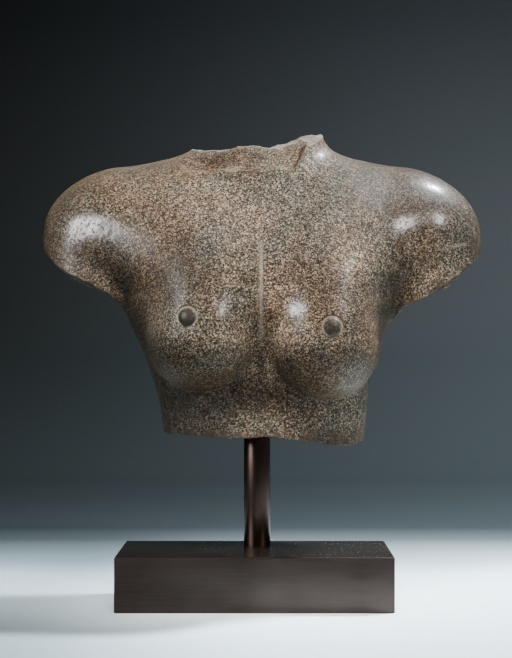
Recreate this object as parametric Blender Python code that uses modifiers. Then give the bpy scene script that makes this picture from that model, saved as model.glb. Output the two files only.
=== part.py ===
"""Stone bust: a broken granite torso held by a round rod on a rectangular plinth.

Metres, +Z up. The origin is the centre of the plinth's underside, and the figure looks along -Y.
The carving is given in shares of the stone's own height, measured from the stone's own origin:
x to the viewer's right of its median plane, y back from its spine, z up from its lowest edge.
"""

import math

import bmesh
import bpy
import numpy as np
from mathutils import Vector, noise

# Plinth
PLINTH_WIDTH = 0.250
PLINTH_DEPTH = 0.130
PLINTH_HEIGHT = 0.050
PLINTH_EDGE = 0.0012

# Rod, with its axis to the right of the plinth's centre and set back from it
ROD_DIAMETER = 0.025
ROD_SHOWING = 0.1055
ROD_RIGHT = 0.002
ROD_SETBACK = 0.028
ROD_SIDES = 64
FOOT_DEPTH = 0.006
SEAT_DEPTH = 0.014
CLEARANCE = 0.0003

# Stone, with its median plane and spine placed from the rod's axis
STONE_HEIGHT = 0.294
STONE_RIGHT_OF_ROD = 0.004
STONE_BEHIND_ROD = 0.007

# Meshes. The torso is carved along rays from the middle of its chest, and edges sharper than these
# angles in degrees stay sharp
CHEST_MIDDLE = (0.0, 0.0, 0.470)
RAY_START = 0.05
RAY_REACH = 1.3
RAY_STEPS = 90
RAY_HALVINGS = 18
NIPPLE_FRONT = -0.38
NIPPLE_AIM = 0.9962
SPHERE_STEPS = 7
FIGURE_TRIANGLES = 7000
CUTTER_STEPS = 26
STONE_EDGE = 35
ROD_EDGE = 30

# From here on the sizes are shares of the stone's height. A profile runs up the body as (height, size),
# and a fillet is (tight, soft, low, high): tight below the low height and soft above the high one
RIB_WIDTHS = ((-0.10, 0.305), (0.04, 0.322), (0.17, 0.338), (0.30, 0.362), (0.44, 0.425), (0.60, 0.440),
              (0.74, 0.400), (0.88, 0.280), (1.00, 0.150))
RIB_DEPTHS = ((-0.10, 0.215), (0.05, 0.225), (0.20, 0.238), (0.45, 0.256), (0.61, 0.254), (0.76, 0.220),
              (0.90, 0.150), (1.00, 0.110))
SPINE_LEAN = ((-0.10, -0.020), (0.30, -0.008), (0.60, 0.010), (0.95, 0.050))
SIDE_LEAN = ((-0.10, 0.010), (0.16, 0.005), (0.32, -0.017), (0.46, -0.006), (0.62, 0.000))
RIB_SQUARENESS = 2.35

SHOULDER_CENTRE = (0.500, 0.052, 0.672)
SHOULDER_RADII = (0.211, 0.188, 0.197)
ARM_END = (0.590, 0.035, 0.300)
ARM_RADIUS = 0.186
YOKE_INNER = (0.000, 0.045, 0.792)
YOKE_OUTER = (0.420, 0.030, 0.712)
YOKE_RADII = (0.195, 0.185)
YOKE_FILLET = 0.08
PECTORAL = {"centre": (0.270, 0.010, 0.650), "radii": (0.280, 0.225, 0.205)}
PECTORAL_FILLET = (0.02, 0.08, 0.44, 0.60)
SHOULDER_FILLET = (0.02, 0.07, 0.45, 0.65)
ARM_FILLET = 0.04

NECK_FOOT = (0.000, 0.045, 0.800)
NECK_TOP = (0.004, 0.020, 1.100)
NECK_RADII = (0.205, 0.190)
NECK_FILLET = 0.05

BREASTS = (
    {"centre": (-0.178, -0.135, 0.354), "radii": (0.185, 0.262, 0.182), "rise": 1.75},
    {"centre": (0.190, -0.135, 0.336), "radii": (0.187, 0.266, 0.190), "rise": 1.75},
)
CLEAVAGE_FILLET = (0.012, 0.170, 0.27, 0.47)
BREAST_FILLET = (0.016, 0.196, 0.24, 0.56)
NIPPLES = ((-0.222, 0.409), (0.213, 0.379))
NIPPLE_RADIUS = 0.026
NIPPLE_HEIGHT = 0.012
NIPPLE_RING = 0.031
NIPPLE_RING_WIDTH = 0.005
NIPPLE_RING_DEPTH = 0.003

FURROW = {"width": 0.070, "depth": 0.022, "fades": (0.70, 0.90)}
BLADE = {"across": 0.22, "up": 0.60, "width": 0.11, "height": 0.15, "rise": 0.018}

# Breaks. Each arm ends in a face that leans in and down to the armpit and is worn round
LEFT_BREAK = {"centre": (-0.595, 0.020, 0.575), "up": (-0.796, 0.0, 0.606), "bulge": 0.036, "chips": 0.007}
RIGHT_BREAK = {"centre": (0.596, 0.020, 0.566), "up": (0.773, 0.0, 0.635), "bulge": 0.038, "chips": 0.014}
ARM_BREAK_REACH = ((-0.32, 0.32), (-0.200, 0.34))
ARM_BREAK_HALVES = (0.30, 0.143)
ARM_BREAK_SKEW = 3.0
ARM_SPARE = {"thickness": 0.035, "up": (-0.19, -0.10)}
NECK_BREAK_REACH = ((-0.34, 0.34), (-0.30, 0.36))
NECK_BREAK_HEIGHT = 0.951
NECK_PEAK = {"rise": 0.060, "across": (-0.04, 0.20), "back": (-0.15, 0.08)}
NECK_FRONT = {"drop": 0.078, "middle": 0.045, "round": (0.135, 0.225), "across": (0.10, 0.15), "back": (-0.08, 0.00)}
NECK_SIDE = {"rise": 0.060, "across": (-0.31, -0.23)}
NECK_CHIPS = 0.007
UNDERSIDE_REACH = ((-0.50, 0.50), (-0.45, 0.45))
UNDERSIDE = ((-0.36, 0.046), (-0.20, 0.044), (-0.05, 0.040), (0.03, 0.040), (0.13, 0.036), (0.20, 0.022),
             (0.31, 0.013), (0.36, 0.022))
UNDERSIDE_CHIPS = 0.008
CHIP_SIZE = 0.09
CUTTER_THICKNESS = 0.50


def profile(points, at):
    """A smooth curve through (place, size) points, read at the given places."""
    places, sizes = np.array(points).T
    slopes = np.gradient(sizes, places)
    at = np.clip(at, places[0], places[-1])
    index = np.clip(np.searchsorted(places, at) - 1, 0, len(places) - 2)
    span = places[index + 1] - places[index]
    t = (at - places[index]) / span
    return (
        (1 + 2 * t) * (1 - t) ** 2 * sizes[index]
        + t * (1 - t) ** 2 * span * slopes[index]
        + t * t * (3 - 2 * t) * sizes[index + 1]
        + t * t * (t - 1) * span * slopes[index + 1]
    )


def ease(low, high, value):
    """0 below low, 1 above high, and a smooth step between."""
    t = np.clip((value - low) / (high - low), 0.0, 1.0)
    return t * t * (3.0 - 2.0 * t)


def swell(away, width):
    """1 in the middle, dying away smoothly over about twice this width."""
    return np.exp(-((away / width) ** 2))


def fillet(sizes, height):
    """The softness of a fillet at these heights."""
    tight, soft, low, high = sizes
    return tight + (soft - tight) * ease(low, high, height)


def join(first, second, softness):
    """The union of two forms, with a fillet of about this softness where they meet."""
    share = np.clip(0.5 + 0.5 * (second - first) / softness, 0.0, 1.0)
    return second + (first - second) * share - softness * share * (1.0 - share)


def ellipsoid(points, centre, radii):
    """How far points lie outside an ellipsoid."""
    local = (points - np.array(centre)) / np.array(radii)
    near = np.linalg.norm(local, axis=1) + 1e-9
    steep = np.linalg.norm(local / np.array(radii), axis=1) + 1e-9
    return near * (near - 1.0) / steep


def limb(points, start, end, start_radius, end_radius):
    """How far points lie outside a round limb that tapers from start to end."""
    start, end = np.array(start), np.array(end)
    axis = end - start
    along = np.clip((points - start) @ axis / (axis @ axis), 0.0, 1.0)
    away = np.linalg.norm(points - start - along[:, None] * axis, axis=1)
    return away - (start_radius + (end_radius - start_radius) * along)


def ribs(points):
    """The rib cage: a rounded box that tapers to the waist, as distance outside it."""
    x, y, z = points.T
    x = x - profile(SIDE_LEAN, z)
    y = y - profile(SPINE_LEAN, z)
    wide = profile(RIB_WIDTHS, z)
    deep = profile(RIB_DEPTHS, z)
    reach = np.hypot(x, y) + 1e-9
    level = (np.abs(x / wide) ** RIB_SQUARENESS + np.abs(y / deep) ** RIB_SQUARENESS) ** (1 / RIB_SQUARENESS)
    beyond_ends = np.maximum(RIB_WIDTHS[0][0] - z, z - RIB_WIDTHS[-1][0])
    return np.maximum(reach * (1.0 - 1.0 / np.maximum(level, 1e-6)), beyond_ends)


def breast(points, centre, radii, rise):
    """One breast: round below, drawn out upwards by rise until it runs into the chest."""
    local = points - np.array(centre)
    local[:, 2] = np.where(local[:, 2] > 0.0, local[:, 2] / rise, local[:, 2])
    return ellipsoid(local, (0.0, 0.0, 0.0), radii)


def nipples(points):
    """The height of the nipples, less the ring cut round each, on the front of the figure."""
    x, y, z = points.T
    height = np.zeros(len(points))
    for across, up in NIPPLES:
        away = np.hypot(x - across, z - up)
        dome = np.sqrt(np.clip(1.0 - (away / NIPPLE_RADIUS) ** 2, 0.0, 1.0))
        ring = swell(away - NIPPLE_RING, NIPPLE_RING_WIDTH)
        height += NIPPLE_HEIGHT * dome - NIPPLE_RING_DEPTH * ring
    return np.where(y < 0.0, height, 0.0)


def back_relief(points):
    """The height of the shoulder blades, less the furrow along the spine, on the back of the figure."""
    x, y, z = points.T
    furrow = FURROW["depth"] * swell(x, FURROW["width"]) * (1.0 - ease(*FURROW["fades"], z))
    blade = BLADE["rise"] * swell(np.abs(x) - BLADE["across"], BLADE["width"])
    blade = blade * swell(z - BLADE["up"], BLADE["height"])
    return np.where(y > 0.0, blade - furrow, 0.0)


def arm_face(bulge, s, t):
    """How far an arm's worn break stands out: fullest at its middle."""
    across, up = ARM_BREAK_HALVES
    fullness = np.clip(1.0 - (s / across) ** 2, 0.0, 1.0) * np.clip(1.0 - (t / up) ** 2, 0.0, 1.0)
    return bulge * fullness * (1.0 + ARM_BREAK_SKEW * t)


def beyond_arm_break(points):
    """How far points lie beyond their arm's break, plus some spare stone where a cutter takes it off."""
    beyond = []
    for sizes in (LEFT_BREAK, RIGHT_BREAK):
        local = points - np.array(sizes["centre"])
        up = np.array(sizes["up"])
        out = np.array((np.sign(sizes["centre"][0]) * up[2], 0.0, -abs(up[0])))
        s, t = local[:, 1], local @ up
        spare = ARM_SPARE["thickness"] * ease(*ARM_SPARE["up"], t)
        beyond.append(local @ out - arm_face(sizes["bulge"], s, t) - spare)
    return np.where(points[:, 0] < 0.0, *beyond)


def figure(points):
    """The whole carved figure before it broke: negative inside, positive outside."""
    x, y, z = points.T
    beside = np.column_stack([np.abs(x), y, z])
    chest = ribs(points)
    shoulder = ellipsoid(beside, SHOULDER_CENTRE, SHOULDER_RADII)
    arm = limb(beside, SHOULDER_CENTRE, ARM_END, ARM_RADIUS, ARM_RADIUS)
    yoke = limb(beside, YOKE_INNER, YOKE_OUTER, *YOKE_RADII)
    neck = limb(points, NECK_FOOT, NECK_TOP, *NECK_RADII)
    shoulder = np.maximum(join(shoulder, arm, ARM_FILLET), beyond_arm_break(points))
    trunk = join(chest, yoke, YOKE_FILLET)
    trunk = join(trunk, ellipsoid(beside, **PECTORAL), fillet(PECTORAL_FILLET, z))
    trunk = join(trunk, shoulder, fillet(SHOULDER_FILLET, z))
    trunk = join(trunk, neck, NECK_FILLET)
    left, right = (breast(points, **sizes) for sizes in BREASTS)
    pair = join(left, right, fillet(CLEAVAGE_FILLET, z))
    body = join(trunk, pair, fillet(BREAST_FILLET, z))
    return body - back_relief(points) - nipples(points)


def chips(s, t, seed):
    """Uneven stone: a value near -1 to 1 that changes over about the size of a chip."""
    return 1.6 * noise.fractal(Vector((s / CHIP_SIZE, t / CHIP_SIZE, seed)), 0.9, 2.1, 3)


def arm_wear(sizes, seed):
    """How far an arm's broken face stands out, with its chips."""
    return lambda s, t: float(arm_face(sizes["bulge"], s, t)) + sizes["chips"] * chips(s, t, seed)


def neck_wear(s, t):
    """The neck's break: up to a peak at the right, chipped down in front, clear of the left shoulder."""
    peak = NECK_PEAK["rise"] * ease(*NECK_PEAK["across"], s) * ease(*NECK_PEAK["back"], t)
    front = NECK_FRONT["drop"] * ease(*NECK_FRONT["round"], math.hypot(s, t - NECK_FRONT["middle"]))
    front *= (1.0 - ease(*NECK_FRONT["across"], s)) * (1.0 - ease(*NECK_FRONT["back"], t))
    side = NECK_SIDE["rise"] * (1.0 - ease(*NECK_SIDE["across"], s))
    return float(peak - front + side) + NECK_CHIPS * chips(s, t, 4.0)


def underside_wear(s, t):
    """How far the break below hangs under the stone's origin, which is less than nothing."""
    return UNDERSIDE_CHIPS * chips(s, t, 7.0) - float(profile(UNDERSIDE, np.array([s]))[0])


def stone_origin():
    """Where the stone's own origin lies, with its underside at the rod at the top of the rod's showing part."""
    hang = underside_wear(-STONE_RIGHT_OF_ROD / STONE_HEIGHT, STONE_BEHIND_ROD / STONE_HEIGHT)
    return Vector((ROD_RIGHT + STONE_RIGHT_OF_ROD, ROD_SETBACK + STONE_BEHIND_ROD,
                   PLINTH_HEIGHT + ROD_SHOWING + hang * STONE_HEIGHT))


def rod_top():
    """The top of the rod, in its seat in the stone."""
    return PLINTH_HEIGHT + ROD_SHOWING + SEAT_DEPTH


def collection(name):
    """A new collection of the scene."""
    made = bpy.data.collections.new(name)
    bpy.context.scene.collection.children.link(made)
    return made


def new_object(name, bm, into):
    """The mesh as an object of this collection."""
    mesh = bpy.data.meshes.new(name)
    bm.to_mesh(mesh)
    bm.free()
    made = bpy.data.objects.new(name, mesh)
    into.objects.link(made)
    return made


def as_cutter(obj):
    """Marks an object that only cuts others."""
    obj.hide_render = True
    obj.display_type = "WIRE"
    return obj


def finish(name, colour, roughness, metallic):
    """A plain material."""
    made = bpy.data.materials.new(name)
    made.use_nodes = True
    shader = made.node_tree.nodes["Principled BSDF"]
    shader.inputs["Base Color"].default_value = (*colour, 1.0)
    shader.inputs["Roughness"].default_value = roughness
    shader.inputs["Metallic"].default_value = metallic
    return made


def cut(obj, cutter):
    """Cuts the cutter's shape out of the object."""
    modifier = obj.modifiers.new(cutter.name, "BOOLEAN")
    modifier.object = cutter
    modifier.operation = "DIFFERENCE"
    modifier.solver = "EXACT"


def settle(obj):
    """Gives the object the mesh that its modifiers make."""
    bpy.context.view_layer.update()
    graph = bpy.context.evaluated_depsgraph_get()
    mesh = bpy.data.meshes.new_from_object(obj.evaluated_get(graph))
    obj.modifiers.clear()
    obj.data = mesh


def shade(obj, angle):
    """Shades smooth, with edges sharper than this angle kept."""
    obj.data.shade_smooth()
    obj.data.set_sharp_from_angle(angle=math.radians(angle))


def round_bar(name, diameter, bottom, top, into):
    """An upright round bar on the rod's axis."""
    bm = bmesh.new()
    bmesh.ops.create_cone(bm, cap_ends=True, segments=ROD_SIDES, radius1=diameter / 2, radius2=diameter / 2,
                          depth=top - bottom)
    made = new_object(name, bm, into)
    made.location = (ROD_RIGHT, ROD_SETBACK, (bottom + top) / 2)
    return made


def break_cutter(name, centre, across, up, reach, wear, into):
    """A block with one rough face, which takes off all that lies beyond that face.

    The face runs along across and up from centre, as far as reach says each way, and wear(s, t) is
    how far it stands out there. All are shares of the stone's height.
    """
    centre, across, up = Vector(centre), Vector(across), Vector(up).normalized()
    out = across.cross(up)
    (s_low, s_high), (t_low, t_high) = reach
    bm = bmesh.new()
    bmesh.ops.create_grid(bm, x_segments=CUTTER_STEPS, y_segments=CUTTER_STEPS, size=0.5)
    for vertex in bm.verts:
        s = s_low + (s_high - s_low) * (vertex.co.x + 0.5)
        t = t_low + (t_high - t_low) * (vertex.co.y + 0.5)
        vertex.co = centre + across * s + up * t + out * wear(s, t)
    ends = bmesh.ops.extrude_face_region(bm, geom=bm.faces[:])["geom"]
    far = [item for item in ends if isinstance(item, bmesh.types.BMVert)]
    bmesh.ops.translate(bm, verts=far, vec=out * CUTTER_THICKNESS)
    bmesh.ops.recalc_face_normals(bm, faces=bm.faces[:])
    bmesh.ops.scale(bm, verts=bm.verts[:], vec=(STONE_HEIGHT,) * 3)
    made = as_cutter(new_object(name, bm, into))
    made.location = stone_origin()
    return made


def arm_cutter(name, facing, sizes, seed, into):
    """The break that ends one arm."""
    return break_cutter(name, sizes["centre"], (0.0, facing, 0.0), sizes["up"], ARM_BREAK_REACH,
                        arm_wear(sizes, seed), into)


def carved_points(directions):
    """Where rays from the middle of the chest first leave the figure."""
    centre = np.array(CHEST_MIDDLE)
    steps = np.linspace(RAY_START, RAY_REACH, RAY_STEPS)
    inside = np.full(len(directions), steps[0])
    outside = np.full(len(directions), steps[-1])
    going = np.ones(len(directions), bool)
    for step in steps[1:]:
        left = going & (figure(centre + step * directions) > 0.0)
        outside[left] = step
        going &= ~left
        inside[going] = step
    for _ in range(RAY_HALVINGS):
        middle = (inside + outside) / 2
        out = figure(centre + middle[:, None] * directions) > 0.0
        outside = np.where(out, middle, outside)
        inside = np.where(out, inside, middle)
    return centre + outside[:, None] * directions


def carved_torso(name, into):
    """The figure as one closed mesh, carved out of a sphere, with finer faces at the nipples."""
    bm = bmesh.new()
    bmesh.ops.create_icosphere(bm, subdivisions=SPHERE_STEPS, radius=1.0)
    for across, up in NIPPLES:
        aim = (Vector((across, NIPPLE_FRONT, up)) - Vector(CHEST_MIDDLE)).normalized()
        near = {edge for vertex in bm.verts if vertex.co.normalized().dot(aim) > NIPPLE_AIM
                for edge in vertex.link_edges}
        bmesh.ops.subdivide_edges(bm, edges=list(near), cuts=2, use_grid_fill=True)
    bmesh.ops.triangulate(bm, faces=bm.faces[:])
    directions = np.array([vertex.co.normalized() for vertex in bm.verts])
    for vertex, place in zip(bm.verts, carved_points(directions) * STONE_HEIGHT):
        vertex.co = place
    made = new_object(name, bm, into)
    made.location = stone_origin()
    return made


def thin(obj, triangles):
    """Thins the object's mesh to about this many triangles, most of them kept where it curves."""
    modifier = obj.modifiers.new("thinned", "DECIMATE")
    modifier.ratio = min(1.0, triangles / len(obj.data.polygons))
    settle(obj)


def stone_torso(parts, cutters):
    """The stone: the carved figure, broken at both arms, neck and ribs, with a seat for the rod."""
    stone = carved_torso("stone_torso", parts)
    thin(stone, FIGURE_TRIANGLES)
    cut(stone, arm_cutter("left_arm_break", -1.0, LEFT_BREAK, 1.0, cutters))
    cut(stone, arm_cutter("right_arm_break", 1.0, RIGHT_BREAK, 2.0, cutters))
    cut(stone, break_cutter("neck_break", (0.0, 0.0, NECK_BREAK_HEIGHT), (1.0, 0.0, 0.0), (0.0, 1.0, 0.0),
                            NECK_BREAK_REACH, neck_wear, cutters))
    cut(stone, break_cutter("rib_break", (0.0, 0.0, 0.0), (1.0, 0.0, 0.0), (0.0, -1.0, 0.0),
                            UNDERSIDE_REACH, underside_wear, cutters))
    bore = round_bar("rod_seat", ROD_DIAMETER + 2 * CLEARANCE, PLINTH_HEIGHT, rod_top() + CLEARANCE, cutters)
    cut(stone, as_cutter(bore))
    settle(stone)
    shade(stone, STONE_EDGE)
    stone.data.materials.clear()
    stone.data.materials.append(finish("speckled_granite", (0.165, 0.135, 0.110), 0.42, 0.0))
    return stone


def mount_rod(parts):
    """The rod, from its recess in the plinth up into the stone."""
    rod = round_bar("mount_rod", ROD_DIAMETER, PLINTH_HEIGHT - FOOT_DEPTH, rod_top(), parts)
    shade(rod, ROD_EDGE)
    rod.data.materials.append(finish("dark_rod_metal", (0.040, 0.028, 0.022), 0.35, 1.0))
    return rod


def plinth_block(parts, cutters):
    """The plinth, with eased edges and a recess for the rod's foot."""
    bm = bmesh.new()
    bmesh.ops.create_cube(bm, size=1.0)
    bmesh.ops.scale(bm, verts=bm.verts[:], vec=(PLINTH_WIDTH, PLINTH_DEPTH, PLINTH_HEIGHT))
    plinth = new_object("plinth_block", bm, parts)
    plinth.location = (0.0, 0.0, PLINTH_HEIGHT / 2)
    eased = plinth.modifiers.new("eased_edges", "BEVEL")
    eased.width = PLINTH_EDGE
    eased.segments = 2
    recess = round_bar("foot_recess", ROD_DIAMETER + 2 * CLEARANCE, PLINTH_HEIGHT - FOOT_DEPTH - CLEARANCE,
                       PLINTH_HEIGHT + FOOT_DEPTH, cutters)
    cut(plinth, as_cutter(recess))
    plinth.data.materials.append(finish("dark_plinth_metal", (0.060, 0.048, 0.042), 0.40, 1.0))
    return plinth


def main():
    """Builds the bust."""
    for leftover in list(bpy.data.objects):
        bpy.data.objects.remove(leftover)
    parts = collection("stone_bust")
    cutters = collection("cutters")
    plinth_block(parts, cutters)
    mount_rod(parts)
    stone_torso(parts, cutters)


main()
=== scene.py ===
"""Dresses the stone bust: polished speckled granite and its rough breaks, the dark rod and the plinth.

Metres, +Z up: the origin is the middle of the plinth's underside, and the figure looks along -Y. The
torso's form is in shares of the stone's height, from the stone's own origin: x to the viewer's right
of its median plane, y back from its spine, z up from its lowest edge.
"""

import logging
import math
from dataclasses import dataclass
from enum import Enum
from typing import Any

import bpy
import numpy as np
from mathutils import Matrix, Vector, kdtree, noise


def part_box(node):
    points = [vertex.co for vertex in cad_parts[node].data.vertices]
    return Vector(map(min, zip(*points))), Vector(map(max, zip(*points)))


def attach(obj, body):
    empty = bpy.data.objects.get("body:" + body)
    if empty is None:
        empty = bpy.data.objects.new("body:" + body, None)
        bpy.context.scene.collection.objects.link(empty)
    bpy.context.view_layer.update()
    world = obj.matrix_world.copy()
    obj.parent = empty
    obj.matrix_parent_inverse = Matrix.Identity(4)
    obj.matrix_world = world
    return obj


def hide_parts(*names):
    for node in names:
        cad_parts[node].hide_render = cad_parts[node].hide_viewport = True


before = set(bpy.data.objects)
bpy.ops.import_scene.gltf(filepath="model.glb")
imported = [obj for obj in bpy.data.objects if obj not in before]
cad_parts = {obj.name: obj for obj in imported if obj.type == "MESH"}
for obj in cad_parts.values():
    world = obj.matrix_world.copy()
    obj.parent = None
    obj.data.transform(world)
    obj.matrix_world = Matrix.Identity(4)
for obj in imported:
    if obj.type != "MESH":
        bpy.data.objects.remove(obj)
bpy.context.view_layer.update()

LOG = logging.getLogger("stone_bust")
Triple = tuple[float, float, float]
Pair = tuple[float, float]
AXES = np.eye(3)
TINY = 1e-9


def ease(low: float, high: float, value: Any) -> Any:
    """Steps smoothly from 0 at low to 1 at high.

    Args:
        low: Where the step starts.
        high: Where the step ends.
        value: A number or an array of numbers.

    Returns:
        The height of the step at each value.
    """
    share = np.clip((value - low) / (high - low), 0.0, 1.0)
    return share * share * (3.0 - 2.0 * share)


def swell(away: Any, width: float) -> Any:
    """Gives 1 in the middle, dying away smoothly over about twice this width."""
    return np.exp(-((away / width) ** 2))


def join(first: np.ndarray, second: np.ndarray, softness: Any) -> np.ndarray:
    """Joins two forms, with a fillet where they meet.

    Args:
        first: How far each point lies outside one form.
        second: How far each point lies outside the other form.
        softness: The size of the fillet.

    Returns:
        How far each point lies outside the joined form.
    """
    share = np.clip(0.5 + 0.5 * (second - first) / softness, 0.0, 1.0)
    return second + (first - second) * share - softness * share * (1.0 - share)


@dataclass(frozen=True)
class Profile:
    """A smooth curve through (place, size) points."""

    points: tuple[Pair, ...]

    def at(self, places: np.ndarray) -> np.ndarray:
        """Reads the curve.

        Args:
            places: Where to read it.

        Returns:
            The size at each place.
        """
        knots, sizes = np.array(self.points).T
        slopes = np.gradient(sizes, knots)
        places = np.clip(places, knots[0], knots[-1])
        index = np.clip(np.searchsorted(knots, places) - 1, 0, len(knots) - 2)
        span = knots[index + 1] - knots[index]
        t = (places - knots[index]) / span
        return (
            (1 + 2 * t) * (1 - t) ** 2 * sizes[index]
            + t * (1 - t) ** 2 * span * slopes[index]
            + t * t * (3 - 2 * t) * sizes[index + 1]
            + t * t * (t - 1) * span * slopes[index + 1]
        )


@dataclass(frozen=True)
class Fillet:
    """A fillet that is tight below one height and soft above another."""

    tight: float
    soft: float
    low: float
    high: float

    def at(self, height: np.ndarray) -> np.ndarray:
        """Gives the fillet's softness at each height."""
        return self.tight + (self.soft - self.tight) * ease(self.low, self.high, height)


class Mark(Enum):
    """What is stored on the stone's vertices for the finishes to read."""

    RIM = "rim"
    CUT_LINE = "cut_line"
    DOME = "dome"
    # painted shade in the skin's recesses
    HOLLOW_SHADE = "hollow"
    POLISH = "polish"
    # painted light and shade from the front's patches
    PAINTED_LIGHT_TONE = "tone"


class Bench:
    """The few modelling steps that every piece is made with."""

    @staticmethod
    def clear() -> None:
        """Leaves nothing selected."""
        bpy.ops.object.select_all(action="DESELECT")

    @staticmethod
    def pick(piece: bpy.types.Object) -> None:
        """Selects one object alone and makes it the active one.

        Args:
            piece: The object to work on.
        """
        Bench.clear()
        piece.select_set(True)
        bpy.context.view_layer.objects.active = piece

    @staticmethod
    def ball(rings: int = 24) -> bpy.types.Object:
        """Adds a sphere one unit in radius, to be shaped.

        Args:
            rings: How many rings of faces it has.

        Returns:
            The sphere.
        """
        Bench.clear()
        bpy.ops.mesh.primitive_uv_sphere_add(segments=2 * rings, ring_count=rings, radius=1.0)
        return bpy.context.object

    @staticmethod
    def points(piece: bpy.types.Object) -> np.ndarray:
        """Reads the places of an object's vertices.

        Args:
            piece: The object.

        Returns:
            One row for each vertex.
        """
        places = np.empty(3 * len(piece.data.vertices))
        piece.data.vertices.foreach_get("co", places)
        return places.reshape(-1, 3)

    @staticmethod
    def place(piece: bpy.types.Object, points: np.ndarray) -> None:
        """Moves an object's vertices to these places."""
        piece.data.vertices.foreach_set("co", np.ascontiguousarray(points).ravel())
        piece.data.update()

    @staticmethod
    def modify(piece: bpy.types.Object, kind: str, **settings: Any) -> None:
        """Adds a modifier and applies it.

        Args:
            piece: The object to change.
            kind: The modifier's type.
            settings: Its settings by name.
        """
        Bench.pick(piece)
        bpy.ops.object.modifier_add(type=kind)
        modifier = piece.modifiers[-1]
        for name, value in settings.items():
            setattr(modifier, name, value)
        bpy.ops.object.modifier_apply(modifier=modifier.name)

    @staticmethod
    def cut(piece: bpy.types.Object, cutter: bpy.types.Object, solver: str = "MANIFOLD") -> None:
        """Cuts one object's shape out of another and throws the cutter away.

        Args:
            piece: The object that is cut.
            cutter: The shape to take out of it. Its material stays on the faces that it leaves.
            solver: The Boolean solver.
        """
        Bench.modify(piece, "BOOLEAN", object=cutter, operation="DIFFERENCE", solver=solver,
                     material_mode="TRANSFER")
        bpy.data.objects.remove(cutter)

    @staticmethod
    def fuse(pieces: list[bpy.types.Object], name: str) -> bpy.types.Object:
        """Joins objects into one.

        Args:
            pieces: The objects, of which the first takes in the others.
            name: The name of the joined object.

        Returns:
            The joined object.
        """
        Bench.pick(pieces[0])
        for piece in pieces:
            piece.select_set(True)
        bpy.ops.object.join()
        pieces[0].name = name
        return pieces[0]

    @staticmethod
    def refine(piece: bpy.types.Object, near: np.ndarray) -> None:
        """Splits the faces whose vertices are all marked into four.

        Args:
            piece: The object.
            near: Which of its vertices are marked.
        """
        Bench.pick(piece)
        piece.data.polygons.foreach_set("select", np.zeros(len(piece.data.polygons), bool))
        piece.data.edges.foreach_set("select", np.zeros(len(piece.data.edges), bool))
        piece.data.vertices.foreach_set("select", near)
        bpy.ops.object.mode_set(mode="EDIT")
        bpy.ops.mesh.select_mode(type="VERT")
        bpy.ops.mesh.subdivide(number_cuts=1)
        bpy.ops.object.mode_set(mode="OBJECT")

    @staticmethod
    def drum(radius: float, depth: float, middle: Any, sides: int) -> bpy.types.Object:
        """Adds an upright cylinder.

        Args:
            radius: Its radius.
            depth: How far it reaches from end to end.
            middle: Where its middle lies.
            sides: How many flat sides stand for its round one.

        Returns:
            The cylinder.
        """
        Bench.clear()
        bpy.ops.mesh.primitive_cylinder_add(vertices=sides, radius=radius, depth=depth, location=middle)
        drum = bpy.context.object
        bpy.ops.object.transform_apply(location=True, rotation=True, scale=True)
        return drum

    @staticmethod
    def store(piece: bpy.types.Object, mark: Mark, values: np.ndarray) -> None:
        """Stores one value for each of an object's vertices, for the finishes to read."""
        layer = piece.data.attributes.new(mark.value, "FLOAT", "POINT")
        layer.data.foreach_set("value", values.astype(np.float32))

    @staticmethod
    def smooth_off(piece: bpy.types.Object, degrees: float) -> None:
        """Shades an object smooth, with edges sharper than this angle kept."""
        Bench.pick(piece)
        bpy.ops.object.shade_smooth_by_angle(angle=math.radians(degrees))


@dataclass(frozen=True)
class Egg:
    """An ellipsoid. Above its centre it may be drawn out upwards."""

    centre: Triple
    radii: Triple
    rise: float = 1.0

    def outside(self, points: np.ndarray) -> np.ndarray:
        """Measures how far points lie outside.

        Args:
            points: One row for each point.

        Returns:
            The distance outside, below zero inside.
        """
        local = points - np.array(self.centre)
        local[:, 2] = np.where(local[:, 2] > 0.0, local[:, 2] / self.rise, local[:, 2])
        local = local / np.array(self.radii)
        near = np.linalg.norm(local, axis=1) + TINY
        steep = np.linalg.norm(local / np.array(self.radii), axis=1) + TINY
        return near * (near - 1.0) / steep

    def rough_out(self, side: float = 1.0) -> bpy.types.Object:
        """Adds the ellipsoid as a rough block.

        Args:
            side: 1, or -1 to mirror it to the other side.

        Returns:
            The block.
        """
        block = Bench.ball()
        points = Bench.points(block)
        points[:, 2] = np.where(points[:, 2] > 0.0, points[:, 2] * self.rise, points[:, 2])
        Bench.place(block, points * np.array(self.radii) + np.array(self.centre) * (side, 1.0, 1.0))
        return block


@dataclass(frozen=True)
class Limb:
    """A round limb with round ends, which tapers from start to end."""

    start: Triple
    end: Triple
    start_radius: float
    end_radius: float

    def outside(self, points: np.ndarray) -> np.ndarray:
        """Measures how far points lie outside.

        Args:
            points: One row for each point.

        Returns:
            The distance outside, below zero inside.
        """
        start = np.array(self.start)
        axis = np.array(self.end) - start
        along = np.clip((points - start) @ axis / (axis @ axis), 0.0, 1.0)
        away = np.linalg.norm(points - start - along[:, None] * axis, axis=1)
        return away - (self.start_radius + (self.end_radius - self.start_radius) * along)

    def rough_out(self, side: float = 1.0) -> bpy.types.Object:
        """Adds the limb as a rough block.

        Args:
            side: 1, or -1 to mirror it to the other side.

        Returns:
            The block.
        """
        block = Bench.ball()
        mirror = np.array((side, 1.0, 1.0))
        start, end = np.array(self.start) * mirror, np.array(self.end) * mirror
        turn = Vector(end - start).to_track_quat("Z", "Y").to_matrix()
        points = Bench.points(block)
        beyond = (points[:, 2] > 0.0)[:, None]
        points = points @ np.array(turn).T
        lower, upper = start + points * self.start_radius, end + points * self.end_radius
        Bench.place(block, np.where(beyond, upper, lower))
        return block


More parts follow.
